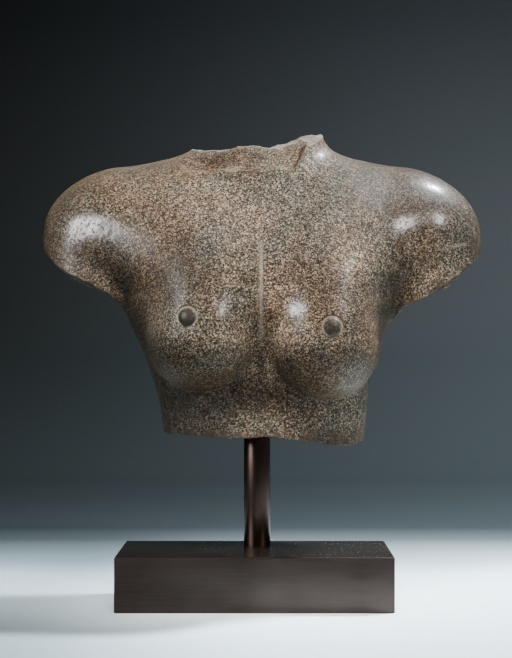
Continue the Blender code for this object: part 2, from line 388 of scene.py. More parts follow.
@dataclass(frozen=True)
class RibCage:
    """The rib cage: a rounded box that tapers to the waist. Its sizes run up the body."""

    widths: Profile = Profile((
        (-0.10, 0.305), (0.04, 0.322), (0.17, 0.338), (0.30, 0.362), (0.44, 0.425), (0.60, 0.440),
        (0.74, 0.400), (0.88, 0.280), (1.00, 0.150),
    ))
    depths: Profile = Profile((
        (-0.10, 0.215), (0.05, 0.225), (0.20, 0.238), (0.45, 0.256), (0.61, 0.254), (0.76, 0.220),
        (0.90, 0.150), (1.00, 0.110),
    ))
    spine_lean: Profile = Profile(((-0.10, -0.020), (0.30, -0.008), (0.60, 0.010), (0.95, 0.050)))
    side_lean: Profile = Profile((
        (-0.10, 0.010), (0.16, 0.005), (0.32, -0.017), (0.46, -0.006), (0.62, 0.000),
    ))
    squareness: float = 2.35
    least_level: float = 1e-6
    block_rings: int = 32
    block_caps: float = 3.0

    @property
    def ends(self) -> Pair:
        """The heights of its lower and upper end."""
        return self.widths.points[0][0], self.widths.points[-1][0]

    def outside(self, points: np.ndarray) -> np.ndarray:
        """Measures how far points lie outside.

        Args:
            points: One row for each point.

        Returns:
            The distance outside, below zero inside.
        """
        x, y, z = points.T
        x = x - self.side_lean.at(z)
        y = y - self.spine_lean.at(z)
        power = self.squareness
        reach = np.hypot(x, y) + TINY
        across, back = np.abs(x / self.widths.at(z)), np.abs(y / self.depths.at(z))
        level = np.maximum((across ** power + back ** power) ** (1 / power), self.least_level)
        low, high = self.ends
        return np.maximum(reach * (1.0 - 1.0 / level), np.maximum(low - z, z - high))

    def rough_out(self) -> bpy.types.Object:
        """Adds the rib cage as a rough block.

        Returns:
            The block.
        """
        block = Bench.ball(self.block_rings)
        x, y, z = Bench.points(block).T
        low, high = self.ends
        height = low + (high - low) * (z + 1.0) / 2.0
        reach = np.hypot(x, y) + TINY
        full = np.minimum(1.0, self.block_caps * reach)
        turn = 2.0 / self.squareness
        across = np.sign(x) * np.abs(x / reach) ** turn * full
        back = np.sign(y) * np.abs(y / reach) ** turn * full
        Bench.place(block, np.column_stack([
            across * self.widths.at(height) + self.side_lean.at(height),
            back * self.depths.at(height) + self.spine_lean.at(height),
            height,
        ]))
        return block


@dataclass(frozen=True)
class Nipple:
    """A small dome in a ring cut round it, on the front of the figure."""

    across: float
    up: float
    radius: float = 0.0255
    height: float = 0.0115
    ring: float = 0.0298
    ring_width: float = 0.0032
    ring_depth: float = 0.0030

    def away(self, points: np.ndarray) -> np.ndarray:
        """Measures how far points lie from the dome's middle, as seen from the front."""
        return np.where(points[:, 1] < 0.0, np.hypot(points[:, 0] - self.across, points[:, 2] - self.up), 1.0)

    def relief(self, points: np.ndarray) -> np.ndarray:
        """Gives how high the dome stands, less the depth of its ring.

        Args:
            points: One row for each point.

        Returns:
            The height at each point.
        """
        away = self.away(points)
        dome = np.sqrt(np.clip(1.0 - (away / self.radius) ** 2, 0.0, 1.0))
        return self.height * dome - self.ring_depth * swell(away - self.ring, self.ring_width)

    def dome(self, points: np.ndarray, edge: float) -> np.ndarray:
        """Gives 1 on the dome up to this share of its radius, falling to 0 at its edge."""
        return 1.0 - ease(edge * self.radius, self.radius, self.away(points))

    def ring_line(self, points: np.ndarray, width: float) -> np.ndarray:
        """Gives how strongly a line of this width shows along the ring at each point."""
        return swell(self.away(points) - self.ring, width)


@dataclass(frozen=True)
class ArmBreak:
    """The face where one arm broke off: it leans in and down to the armpit and is worn round."""

    name: str
    centre: Triple
    up: Triple
    bulge: float
    chips: float
    seed: float
    reach: tuple[Pair, Pair] = ((-0.32, 0.32), (-0.200, 0.34))
    halves: Pair = (0.30, 0.143)
    skew: float = 3.0
    spare: float = 0.035
    spare_up: Pair = (-0.19, -0.10)

    @property
    def across(self) -> Triple:
        """The direction across the face, so that across, up and out are right-handed."""
        return (0.0, math.copysign(1.0, self.centre[0]), 0.0)

    def face(self, s: Any, t: Any) -> Any:
        """Gives how far the worn face stands out.

        Args:
            s: How far across the face.
            t: How far up the face.

        Returns:
            The height over the face's own plane.
        """
        across, up = self.halves
        fullness = np.clip(1.0 - (s / across) ** 2, 0.0, 1.0) * np.clip(1.0 - (t / up) ** 2, 0.0, 1.0)
        return self.bulge * fullness * (1.0 + self.skew * t)

    def beyond(self, points: np.ndarray) -> np.ndarray:
        """Measures how far points lie beyond the face and the spare stone that the cutter takes off.

        Args:
            points: One row for each point.

        Returns:
            The distance beyond it.
        """
        local = points - np.array(self.centre)
        across, up = np.array(self.across), np.array(self.up)
        s, t = local @ across, local @ up
        return local @ np.cross(across, up) - self.face(s, t) - self.spare * ease(*self.spare_up, t)

    def wear(self, s: float, t: float) -> float:
        """Gives the height of the broken face with its chips."""
        worn = float(self.face(s, t)) + self.chips * Rubble.chips(s, t, self.seed)
        return worn + Rubble.grit(s, t, self.seed)


@dataclass(frozen=True)
class NeckBreak:
    """The break across the neck: it rises to a peak at the right and is chipped down at the front."""

    name: str = "neck_break"
    centre: Triple = (0.0, 0.0, 0.951)
    across: Triple = (1.0, 0.0, 0.0)
    up: Triple = (0.0, 1.0, 0.0)
    reach: tuple[Pair, Pair] = ((-0.34, 0.34), (-0.30, 0.36))
    peak_rise: float = 0.060
    peak_across: Pair = (-0.04, 0.20)
    peak_back: Pair = (-0.15, 0.08)
    front_drop: float = 0.078
    front_round: Pair = (0.135, 0.225)
    front_middle: float = 0.045
    front_across: Pair = (0.10, 0.15)
    front_back: Pair = (-0.08, 0.00)
    side_rise: float = 0.060
    side_across: Pair = (-0.31, -0.23)
    chips: float = 0.007
    seed: float = 4.0

    def wear(self, s: float, t: float) -> float:
        """Gives the height of the broken face.

        Args:
            s: How far across.
            t: How far back.

        Returns:
            The height over the neck's break.
        """
        peak = self.peak_rise * ease(*self.peak_across, s) * ease(*self.peak_back, t)
        front = self.front_drop * ease(*self.front_round, math.hypot(s, t - self.front_middle))
        front *= (1.0 - ease(*self.front_across, s)) * (1.0 - ease(*self.front_back, t))
        side = self.side_rise * (1.0 - ease(*self.side_across, s))
        worn = float(peak - front + side) + self.chips * Rubble.chips(s, t, self.seed)
        return worn + Rubble.grit(s, t, self.seed)


@dataclass(frozen=True)
class RibBreak:
    """The break across the lower ribs, which steps down towards the right."""

    name: str = "rib_break"
    centre: Triple = (0.0, 0.0, 0.0)
    across: Triple = (1.0, 0.0, 0.0)
    up: Triple = (0.0, -1.0, 0.0)
    reach: tuple[Pair, Pair] = ((-0.50, 0.50), (-0.45, 0.45))
    height: Profile = Profile((
        (-0.36, 0.046), (-0.20, 0.044), (-0.05, 0.040), (0.03, 0.040), (0.13, 0.036), (0.20, 0.022),
        (0.31, 0.013), (0.36, 0.022),
    ))
    chips: float = 0.008
    seed: float = 7.0

    def wear(self, s: float, t: float) -> float:
        """Gives how far the broken underside hangs, less than nothing where it lies over the origin.

        Args:
            s: How far across.
            t: How far to the front.

        Returns:
            How far it hangs.
        """
        hang = self.chips * Rubble.chips(s, t, self.seed) - float(self.height.at(np.array([s]))[0])
        return hang + Rubble.grit(s, t, self.seed)


@dataclass(frozen=True)
class Patch:
    """A soft-edged patch on the front, at an (across, up) place. Under 0, its strength takes away."""

    across: float
    up: float
    wide: float
    high: float
    strength: float = 1.0

    def at(self, points: np.ndarray) -> np.ndarray:
        """Gives how strong the patch is at each point.

        Args:
            points: One row for each point.

        Returns:
            The strength, which is full in the patch's middle.
        """
        x, _, z = points.T
        return self.strength * swell(np.hypot((x - self.across) / self.wide, (z - self.up) / self.high), 1.0)


@dataclass(frozen=True)
class Scratch:
    """A pale scratch on the front, from one (across, up) place to another."""

    start: Pair
    end: Pair
    width: float = 0.0045
    strength: float = 0.5
    behind: float = 0.1

    def depth(self, points: np.ndarray) -> np.ndarray:
        """Gives how strong the scratch is at each point.

        Args:
            points: One row for each point.

        Returns:
            The strength, from 0 to 1.
        """
        start, run = np.array(self.start), np.array(self.end) - np.array(self.start)
        flat = points[:, [0, 2]] - start
        along = np.clip(flat @ run / (run @ run), 0.0, 1.0)
        away = np.linalg.norm(flat - along[:, None] * run, axis=1)
        return np.where(points[:, 1] < self.behind, self.strength * swell(away, self.width), 0.0)


class Rubble:
    """The unevenness of broken stone."""

    CHIP = 0.09
    CHIP_STRENGTH = 1.6
    CHIP_FRACTAL = (0.9, 2.1, 3)
    GRIT = 0.016
    GRIT_HEIGHT = 0.0020
    GRIT_FRACTAL = (0.8, 2.2, 3)
    GRIT_SEED = 20.0
    STEP = 0.8
    STEP_SCALE = 0.45

    @classmethod
    def chips(cls, s: float, t: float, seed: float) -> float:
        """Gives a value near -1 to 1 that changes over about the size of a chip."""
        place = Vector((s / cls.CHIP, t / cls.CHIP, seed))
        return cls.CHIP_STRENGTH * noise.fractal(place, *cls.CHIP_FRACTAL)

    @classmethod
    def grit(cls, s: float, t: float, seed: float) -> float:
        """Gives the height of the grains and small steps that stand out of a broken face.

        Args:
            s: How far across the face.
            t: How far up the face.
            seed: Which unevenness it is.

        Returns:
            The height.
        """
        place = Vector((s / cls.GRIT, t / cls.GRIT, seed + cls.GRIT_SEED))
        steps = cls.STEP * abs(noise.noise(place * cls.STEP_SCALE))
        return cls.GRIT_HEIGHT * (noise.fractal(place, *cls.GRIT_FRACTAL) + steps)


@dataclass
class Torso:
    """The stone: the carved figure, broken at both arms, the neck and the lower ribs."""

    ribs: RibCage = RibCage()
    shoulder: Egg = Egg((0.500, 0.052, 0.672), (0.211, 0.188, 0.197))
    arm: Limb = Limb((0.500, 0.052, 0.672), (0.590, 0.035, 0.300), 0.186, 0.186)
    yoke: Limb = Limb((0.000, 0.045, 0.792), (0.420, 0.030, 0.712), 0.195, 0.185)
    pectoral: Egg = Egg((0.270, 0.010, 0.650), (0.280, 0.225, 0.205))
    neck: Limb = Limb((0.000, 0.045, 0.800), (0.004, 0.020, 1.100), 0.205, 0.190)
    breasts: tuple[Egg, Egg] = (
        Egg((-0.178, -0.135, 0.354), (0.185, 0.262, 0.182), 1.75),
        Egg((0.190, -0.135, 0.336), (0.187, 0.266, 0.190), 1.75),
    )
    nipples: tuple[Nipple, Nipple] = (Nipple(-0.222, 0.409), Nipple(0.213, 0.379))
    arm_breaks: tuple[ArmBreak, ArmBreak] = (
        ArmBreak("left_arm_break", (-0.595, 0.020, 0.575), (-0.796, 0.0, 0.606), 0.036, 0.007, 1.0),
        ArmBreak("right_arm_break", (0.596, 0.020, 0.566), (0.773, 0.0, 0.635), 0.038, 0.014, 2.0),
    )
    neck_break: NeckBreak = NeckBreak()
    rib_break: RibBreak = RibBreak()
    scratches: tuple[Scratch, ...] = (
        Scratch((-0.156, 0.884), (-0.082, 0.868)),
        Scratch((0.575, 0.630), (0.649, 0.643)),
    )

    arm_fillet: float = 0.04
    yoke_fillet: float = 0.08
    neck_fillet: float = 0.05
    pectoral_fillet: Fillet = Fillet(0.02, 0.08, 0.44, 0.60)
    shoulder_fillet: Fillet = Fillet(0.02, 0.07, 0.45, 0.65)
    cleavage_fillet: Fillet = Fillet(0.012, 0.170, 0.27, 0.47)
    breast_fillet: Fillet = Fillet(0.016, 0.196, 0.24, 0.56)
    furrow_width: float = 0.070
    furrow_depth: float = 0.022
    furrow_fades: Pair = (0.70, 0.90)
    blade_across: float = 0.22
    blade_up: float = 0.60
    blade_width: float = 0.11
    blade_height: float = 0.15
    blade_rise: float = 0.018
    sternum_width: float = 0.012
    sternum_depth: float = 0.003
    sternum_low: Pair = (0.32, 0.40)
    sternum_high: Pair = (0.54, 0.68)

    polished: tuple[Patch, ...] = (
        Patch(-0.535, 0.690, 0.090, 0.058),  # the left shoulder's front
        Patch(-0.127, 0.437, 0.045, 0.030),  # the left breast, towards the middle
        Patch(0.092, 0.430, 0.045, 0.020, 0.9),  # the right breast, towards the middle
        Patch(-0.252, 0.424, 0.030, 0.030, 0.2),  # over the left nipple
        Patch(0.238, 0.420, 0.030, 0.030, 0.2),  # over the right nipple
        Patch(0.292, 0.572, 0.050, 0.050, 0.45),  # the right chest
        Patch(0.455, 0.700, 0.035, 0.032),  # the right shoulder's front
        Patch(0.575, 0.722, 0.030, 0.028, 0.9),  # the right shoulder's front, farther out
        Patch(0.620, 0.830, 0.090, 0.080),  # the right shoulder's top
        Patch(0.215, 0.925, 0.022, 0.050, 0.5),  # the neck, under its peak
        Patch(-0.110, 0.230, 0.050, 0.040, 0.6),  # the left breast's underside
        Patch(0.310, 0.220, 0.090, 0.060, 0.5),  # the right breast's underside
        Patch(-0.340, 0.240, 0.080, 0.070, 0.4),  # the left breast's lower side
        Patch(-0.370, 0.340, 0.080, 0.170, 0.50),  # the left breast's side
    )
    polish_left: float = 0.06
    polish_behind: float = 0.35
    dome_polish: float = 0.15
    # Painted light and shade: patches that lighten or darken the stone's colour where light or shade falls on
    # the front.
    painted_light_patches: tuple[Patch, ...] = (
        Patch(-0.270, 0.530, 0.150, 0.100, -0.45),  # over the left breast
        Patch(0.200, 0.520, 0.150, 0.090, -0.30),  # over the right breast
        Patch(0.030, 0.400, 0.055, 0.100, 1.30),  # between the breasts
        Patch(0.000, 0.275, 0.022, 0.060, -0.80),  # the foot of the cleavage
        Patch(-0.090, 0.310, 0.110, 0.050, 0.50),  # the left breast, low and towards the middle
        Patch(0.295, 0.572, 0.050, 0.050, 0.75),  # the right chest
        Patch(-0.420, 0.520, 0.070, 0.080, 0.60),  # beside the left armpit
        Patch(-0.400, 0.900, 0.200, 0.060, -0.30),  # the left shoulder's top
        Patch(0.000, 0.170, 0.130, 0.065, -0.80),  # the shade under the breasts
        Patch(-0.235, 0.165, 0.060, 0.050, -0.45),  # the same, on the left
        Patch(-0.200, 0.075, 0.140, 0.040, 0.60),  # the lower ribs, left
        Patch(0.160, 0.080, 0.120, 0.035, 0.50),  # the lower ribs, right
        Patch(0.305, 0.120, 0.050, 0.080, 0.30),  # the right flank, low
        Patch(0.440, 0.820, 0.300, 0.150, -0.58),  # the right shoulder's top
        Patch(0.300, 0.400, 0.070, 0.070, -0.35),  # beside the right nipple
        Patch(-0.150, 0.610, 0.120, 0.080, -0.20),  # the left chest
        Patch(0.680, 0.630, 0.060, 0.080, -0.40),  # the right arm, outside
        Patch(0.530, 0.600, 0.090, 0.080, 0.60),  # the right arm, front
        Patch(-0.340, 0.380, 0.080, 0.130, 0.40),  # the left breast's side
        Patch(0.000, 0.220, 1.000, 0.260, 0.55),  # the whole lower half
    )
    # Where the painted shade in recesses is taken off, between the breasts.
    unshaded_cleavage: Patch = Patch(0.0, 0.380, 0.12, 0.11, 0.90)
    front_fades: Pair = (0.02, 0.18)

    height: float = 0.294
    right_of_rod: float = 0.004
    behind_rod: float = 0.007
    seat_depth: float = 0.014
    clearance: float = 0.0003

    rim_reach: float = 0.006
    line_width: float = 0.0027
    sternum_line: float = 0.0055
    sternum_paleness: float = 0.65
    dome_edge: float = 0.8
    # How the mask of the painted shade in recesses is measured.
    hollow_reaches: Pair = (0.04, 0.09)
    hollow_steps: Pair = (0.22, 0.75)

    voxel: float = 0.0042
    first_passes: int = 14
    passes: int = 3
    relax_rounds: int = 2
    relax_times: int = 3
    relax_share: float = 0.5
    fine_round_nipples: Pair = (0.060, 0.045)
    fine_sternum: float = 0.0005
    probe: float = 0.0004
    flattest: float = 0.05
    longest_step: float = 0.03
    cutter_step: float = 0.0021
    cutter_thickness: float = 0.5
    seat_sides: int = 96
    sharp_angle: float = 40.0

    @property
    def rod_box(self) -> tuple[Vector, Vector]:
        """The rod's lowest and highest corner, in the frame."""
        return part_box("mount_rod")

    @property
    def origin(self) -> Vector:
        """The stone's own origin: its underside meets the rod where the rod goes into its seat."""
        low, high = self.rod_box
        s, t = -self.right_of_rod / self.height, self.behind_rod / self.height
        grit = Rubble.grit(s, t, self.rib_break.seed)
        hang = self.rib_break.wear(s, t) - grit
        return Vector((
            (low.x + high.x) / 2 + self.right_of_rod,
            (low.y + high.y) / 2 + self.behind_rod,
            high.z - self.seat_depth + hang * self.height,
        ))

    def sternum(self, points: np.ndarray) -> np.ndarray:
        """Gives the depth of the shallow groove down the middle of the breast bone.

        Args:
            points: One row for each point.

        Returns:
            The depth at each point.
        """
        x, y, z = points.T
        groove = self.sternum_depth * swell(x, self.sternum_width)
        groove = groove * ease(*self.sternum_low, z) * (1.0 - ease(*self.sternum_high, z))
        return np.where(y < 0.0, groove, 0.0)

    def back_relief(self, points: np.ndarray) -> np.ndarray:
        """Gives the height of the shoulder blades, less the furrow along the spine.

        Args:
            points: One row for each point.

        Returns:
            The height at each point.
        """
        x, y, z = points.T
        furrow = self.furrow_depth * swell(x, self.furrow_width) * (1.0 - ease(*self.furrow_fades, z))
        blade = self.blade_rise * swell(np.abs(x) - self.blade_across, self.blade_width)
        blade = blade * swell(z - self.blade_up, self.blade_height)
        return np.where(y > 0.0, blade - furrow, 0.0)

    def outside(self, points: np.ndarray) -> np.ndarray:
        """Measures how far points lie outside the whole figure before it broke.

        Args:
            points: One row for each point.

        Returns:
            The distance outside, below zero inside.
        """
        x, y, z = points.T
        beside = np.column_stack([np.abs(x), y, z])
        left_break, right_break = (each.beyond(points) for each in self.arm_breaks)
        shoulder = join(self.shoulder.outside(beside), self.arm.outside(beside), self.arm_fillet)
        shoulder = np.maximum(shoulder, np.where(x < 0.0, left_break, right_break))
        trunk = join(self.ribs.outside(points), self.yoke.outside(beside), self.yoke_fillet)
        trunk = join(trunk, self.pectoral.outside(beside), self.pectoral_fillet.at(z))
        trunk = join(trunk, shoulder, self.shoulder_fillet.at(z))
        trunk = join(trunk, self.neck.outside(points), self.neck_fillet)
        left, right = (breast.outside(points) for breast in self.breasts)
        pair = join(left, right, self.cleavage_fillet.at(z))
        body = join(trunk, pair, self.breast_fillet.at(z))
        relief = sum(nipple.relief(points) for nipple in self.nipples)
        return body - self.back_relief(points) + self.sternum(points) - relief

    def rough_block(self) -> bpy.types.Object:
        """Blocks the figure out of plain forms and makes them one skin.

        Returns:
            The block, in shares of the stone's height.
        """
        blocks = [self.ribs.rough_out(), self.neck.rough_out()]
        blocks += [breast.rough_out() for breast in self.breasts]
        for side in (-1.0, 1.0):
            blocks += [form.rough_out(side) for form in (self.shoulder, self.yoke, self.pectoral)]
            middle = tuple(np.mean([self.arm.start, self.arm.end], axis=0))
            upper_arm = Limb(self.arm.start, middle, self.arm.start_radius, self.arm.start_radius)
            blocks.append(upper_arm.rough_out(side))
        block = Bench.fuse(blocks, "stone")
        Bench.modify(block, "REMESH", mode="VOXEL", voxel_size=self.voxel / self.height)
        return block

    def slope(self, points: np.ndarray, away: np.ndarray) -> np.ndarray:
        """Measures which way is out of the figure, and how steeply the distance grows that way.

        Args:
            points: One row for each point.
            away: How far each lies outside.

        Returns:
            The slope at each point.
        """
        steps = [self.outside(points + self.probe * axis) - away for axis in AXES]
        return np.column_stack(steps) / self.probe

    def carve(self, block: bpy.types.Object, passes: int) -> None:
        """Moves the block's vertices onto the figure's skin.

        Args:
            block: The block.
            passes: How many times each vertex steps towards the skin.
        """
        points = Bench.points(block)
        for _ in range(passes):
            away = self.outside(points)
            slope = self.slope(points, away)
            steep = np.maximum((slope ** 2).sum(axis=1), self.flattest)
            step = away[:, None] * slope / steep[:, None]
            length = np.linalg.norm(step, axis=1)[:, None] + TINY
            points = points - step * np.minimum(1.0, self.longest_step / length)
        Bench.place(block, points)

    def cutter(self, broken: Any, material: bpy.types.Material) -> bpy.types.Object:
        """Makes a block with one rough face, which takes off all that lies beyond that face.

        Args:
            broken: The break, with its centre, directions, reach and wear.
            material: What the broken face is made of.

        Returns:
            The cutter, in the frame.
        """
        (s_low, s_high), (t_low, t_high) = broken.reach
        step = self.cutter_step / self.height
        centre, across, up = (np.array(each, float) for each in (broken.centre, broken.across, broken.up))
        up /= np.linalg.norm(up)
        out = np.cross(across, up)
        Bench.clear()
        bpy.ops.mesh.primitive_grid_add(x_subdivisions=round((s_high - s_low) / step),
                                        y_subdivisions=round((t_high - t_low) / step), size=1.0)
        made = bpy.context.object
        made.name = broken.name
        places = []
        for x, y, _ in Bench.points(made):
            s = s_low + (s_high - s_low) * (x + 0.5)
            t = t_low + (t_high - t_low) * (y + 0.5)
            places.append(centre + across * s + up * t + out * broken.wear(s, t))
        Bench.place(made, np.array(places) * self.height + np.array(self.origin))
        bpy.ops.object.mode_set(mode="EDIT")
        bpy.ops.mesh.select_all(action="SELECT")
        bpy.ops.mesh.extrude_region_move(
            TRANSFORM_OT_translate={"value": tuple(out * self.cutter_thickness * self.height)})
        bpy.ops.mesh.select_all(action="SELECT")
        bpy.ops.mesh.normals_make_consistent(inside=False)
        bpy.ops.object.mode_set(mode="OBJECT")
        made.data.materials.append(material)
        return made

    def seat(self, material: bpy.types.Material) -> bpy.types.Object:
        """Makes the bore that the rod goes up into.

        Args:
            material: What the bore's wall is made of.

        Returns:
            The bore, as a cutter.
        """
        low, high = self.rod_box
        middle = ((low.x + high.x) / 2, (low.y + high.y) / 2, (low.z + high.z) / 2 + self.clearance)
        bore = Bench.drum((high.x - low.x) / 2 + self.clearance, high.z - low.z, middle, self.seat_sides)
        bore.data.materials.append(material)
        return bore

    def mark_rims(self, stone: bpy.types.Object) -> None:
        """Stores how near each vertex lies to the rim of a break, for the finishes to read.

        Args:
            stone: The cut stone.
        """
        mesh = stone.data
        broken = np.empty(len(mesh.polygons), int)
        mesh.polygons.foreach_get("material_index", broken)
        seen = np.zeros((len(mesh.vertices), 2), bool)
        for polygon, index in zip(mesh.polygons, broken):
            seen[list(polygon.vertices), index] = True
        points = Bench.points(stone)
        rim = np.flatnonzero(seen.all(axis=1))
        tree = kdtree.KDTree(len(rim))
        for index in rim:
            tree.insert(points[index], index)
        tree.balance()
        away = np.array([tree.find(point)[2] for point in points])
        Bench.store(stone, Mark.RIM, np.exp(-away / self.rim_reach))

    def cut_lines(self, points: np.ndarray) -> np.ndarray:
        """Gives how strongly a tool's pale line shows: the rings, the scratches and the breast bone's groove.

        Args:
            points: One row for each point.

        Returns:
            The strength, from 0 to 1.
        """
        lines = [nipple.ring_line(points, self.line_width) for nipple in self.nipples]
        lines += [scratch.depth(points) for scratch in self.scratches]
        groove = np.minimum(self.sternum(points) / self.sternum_depth, swell(points[:, 0], self.sternum_line))
        lines.append(self.sternum_paleness * groove)
        return np.max(lines, axis=0)

    def domes(self, points: np.ndarray) -> np.ndarray:
        """Gives 1 on the nipples' domes, falling to 0 at their edges."""
        return np.max([nipple.dome(points, self.dome_edge) for nipple in self.nipples], axis=0)

    def front(self, points: np.ndarray) -> np.ndarray:
        """Gives 1 on the front of the figure, falling to 0 behind it."""
        return 1.0 - ease(*self.front_fades, points[:, 1])

    def polish(self, points: np.ndarray) -> np.ndarray:
        """Gives how much of the old polish is left.

        Args:
            points: One row for each point.

        Returns:
            The polish, from 0 to 1.
        """
        front = self.front(points)
        shine = [patch.at(points) for patch in self.polished] + [self.dome_polish * self.domes(points)]
        shine = np.maximum(np.max(shine, axis=0), self.polish_left)
        return front * shine + (1.0 - front) * self.polish_behind

    def tone(self, points: np.ndarray) -> np.ndarray:
        """Gives how much paler or darker than the plain stone each point's colour is painted, as painted
        light and shade.

        Args:
            points: One row for each point.

        Returns:
            The tone, 1 for the plain stone.
        """
        painted_factor = np.prod([1.0 + patch.at(points) for patch in self.painted_light_patches], axis=0)
        return 1.0 + self.front(points) * (painted_factor - 1.0)

    def hollow(self, points: np.ndarray) -> np.ndarray:
        """Gives how closed in each point of the skin lies, less between the breasts: the mask of the painted
        shade in recesses, which also takes the polish away.

        Args:
            points: One row for each point.

        Returns:
            The depth, from 0 to 1.
        """
        away = self.outside(points)
        slope = self.slope(points, away)
        slope /= np.linalg.norm(slope, axis=1)[:, None] + TINY
        open_shares = [(self.outside(points + reach * slope) - away) / reach for reach in self.hollow_reaches]
        closed = ease(*self.hollow_steps, 1.0 - np.mean(open_shares, axis=0))
        return closed * (1.0 - self.unshaded_cleavage.at(points))

    def mark_skin(self, stone: bpy.types.Object) -> None:
        """Stores the skin's lines, domes, the mask of the painted shade in recesses, polish and painted light
        and shade, for the finishes to read.

        Args:
            stone: The cut stone.
        """
        points = (Bench.points(stone) - np.array(self.origin)) / self.height
        Bench.store(stone, Mark.CUT_LINE, self.cut_lines(points))
        Bench.store(stone, Mark.DOME, self.domes(points))
        Bench.store(stone, Mark.HOLLOW_SHADE, self.hollow(points))
        Bench.store(stone, Mark.POLISH, self.polish(points))
        Bench.store(stone, Mark.PAINTED_LIGHT_TONE, self.tone(points))

    def refine_skin(self, stone: bpy.types.Object) -> None:
        """Splits the stone's faces into four, and again round the nipples and along the breast bone.

        Args:
            stone: The carved stone, in shares of its height.
        """
        Bench.refine(stone, np.ones(len(stone.data.vertices), bool))
        self.carve(stone, self.passes)
        for reach in self.fine_round_nipples:
            points = Bench.points(stone)
            Bench.refine(stone, np.any([nipple.away(points) < reach for nipple in self.nipples], axis=0))
        Bench.refine(stone, self.sternum(Bench.points(stone)) > self.fine_sternum)
        self.carve(stone, self.passes)

    def build(self, polished: bpy.types.Material, broken: bpy.types.Material) -> bpy.types.Object:
        """Carves and breaks the stone.

        Args:
            polished: The finish of the carved skin.
            broken: The finish of the breaks.

        Returns:
            The stone, in the frame.
        """
        stone = self.rough_block()
        self.carve(stone, self.first_passes)
        for _ in range(self.relax_rounds):
            Bench.modify(stone, "SMOOTH", factor=self.relax_share, iterations=self.relax_times)
            self.carve(stone, self.passes)
        self.refine_skin(stone)
        Bench.place(stone, Bench.points(stone) * self.height + np.array(self.origin))
        stone.data.materials.clear()
        stone.data.materials.append(polished)
        for each in (*self.arm_breaks, self.neck_break, self.rib_break):
            Bench.cut(stone, self.cutter(each, broken))
        Bench.cut(stone, self.seat(broken))
        Bench.modify(stone, "TRIANGULATE")
        self.mark_rims(stone)
        self.mark_skin(stone)
        Bench.smooth_off(stone, self.sharp_angle)
        return stone


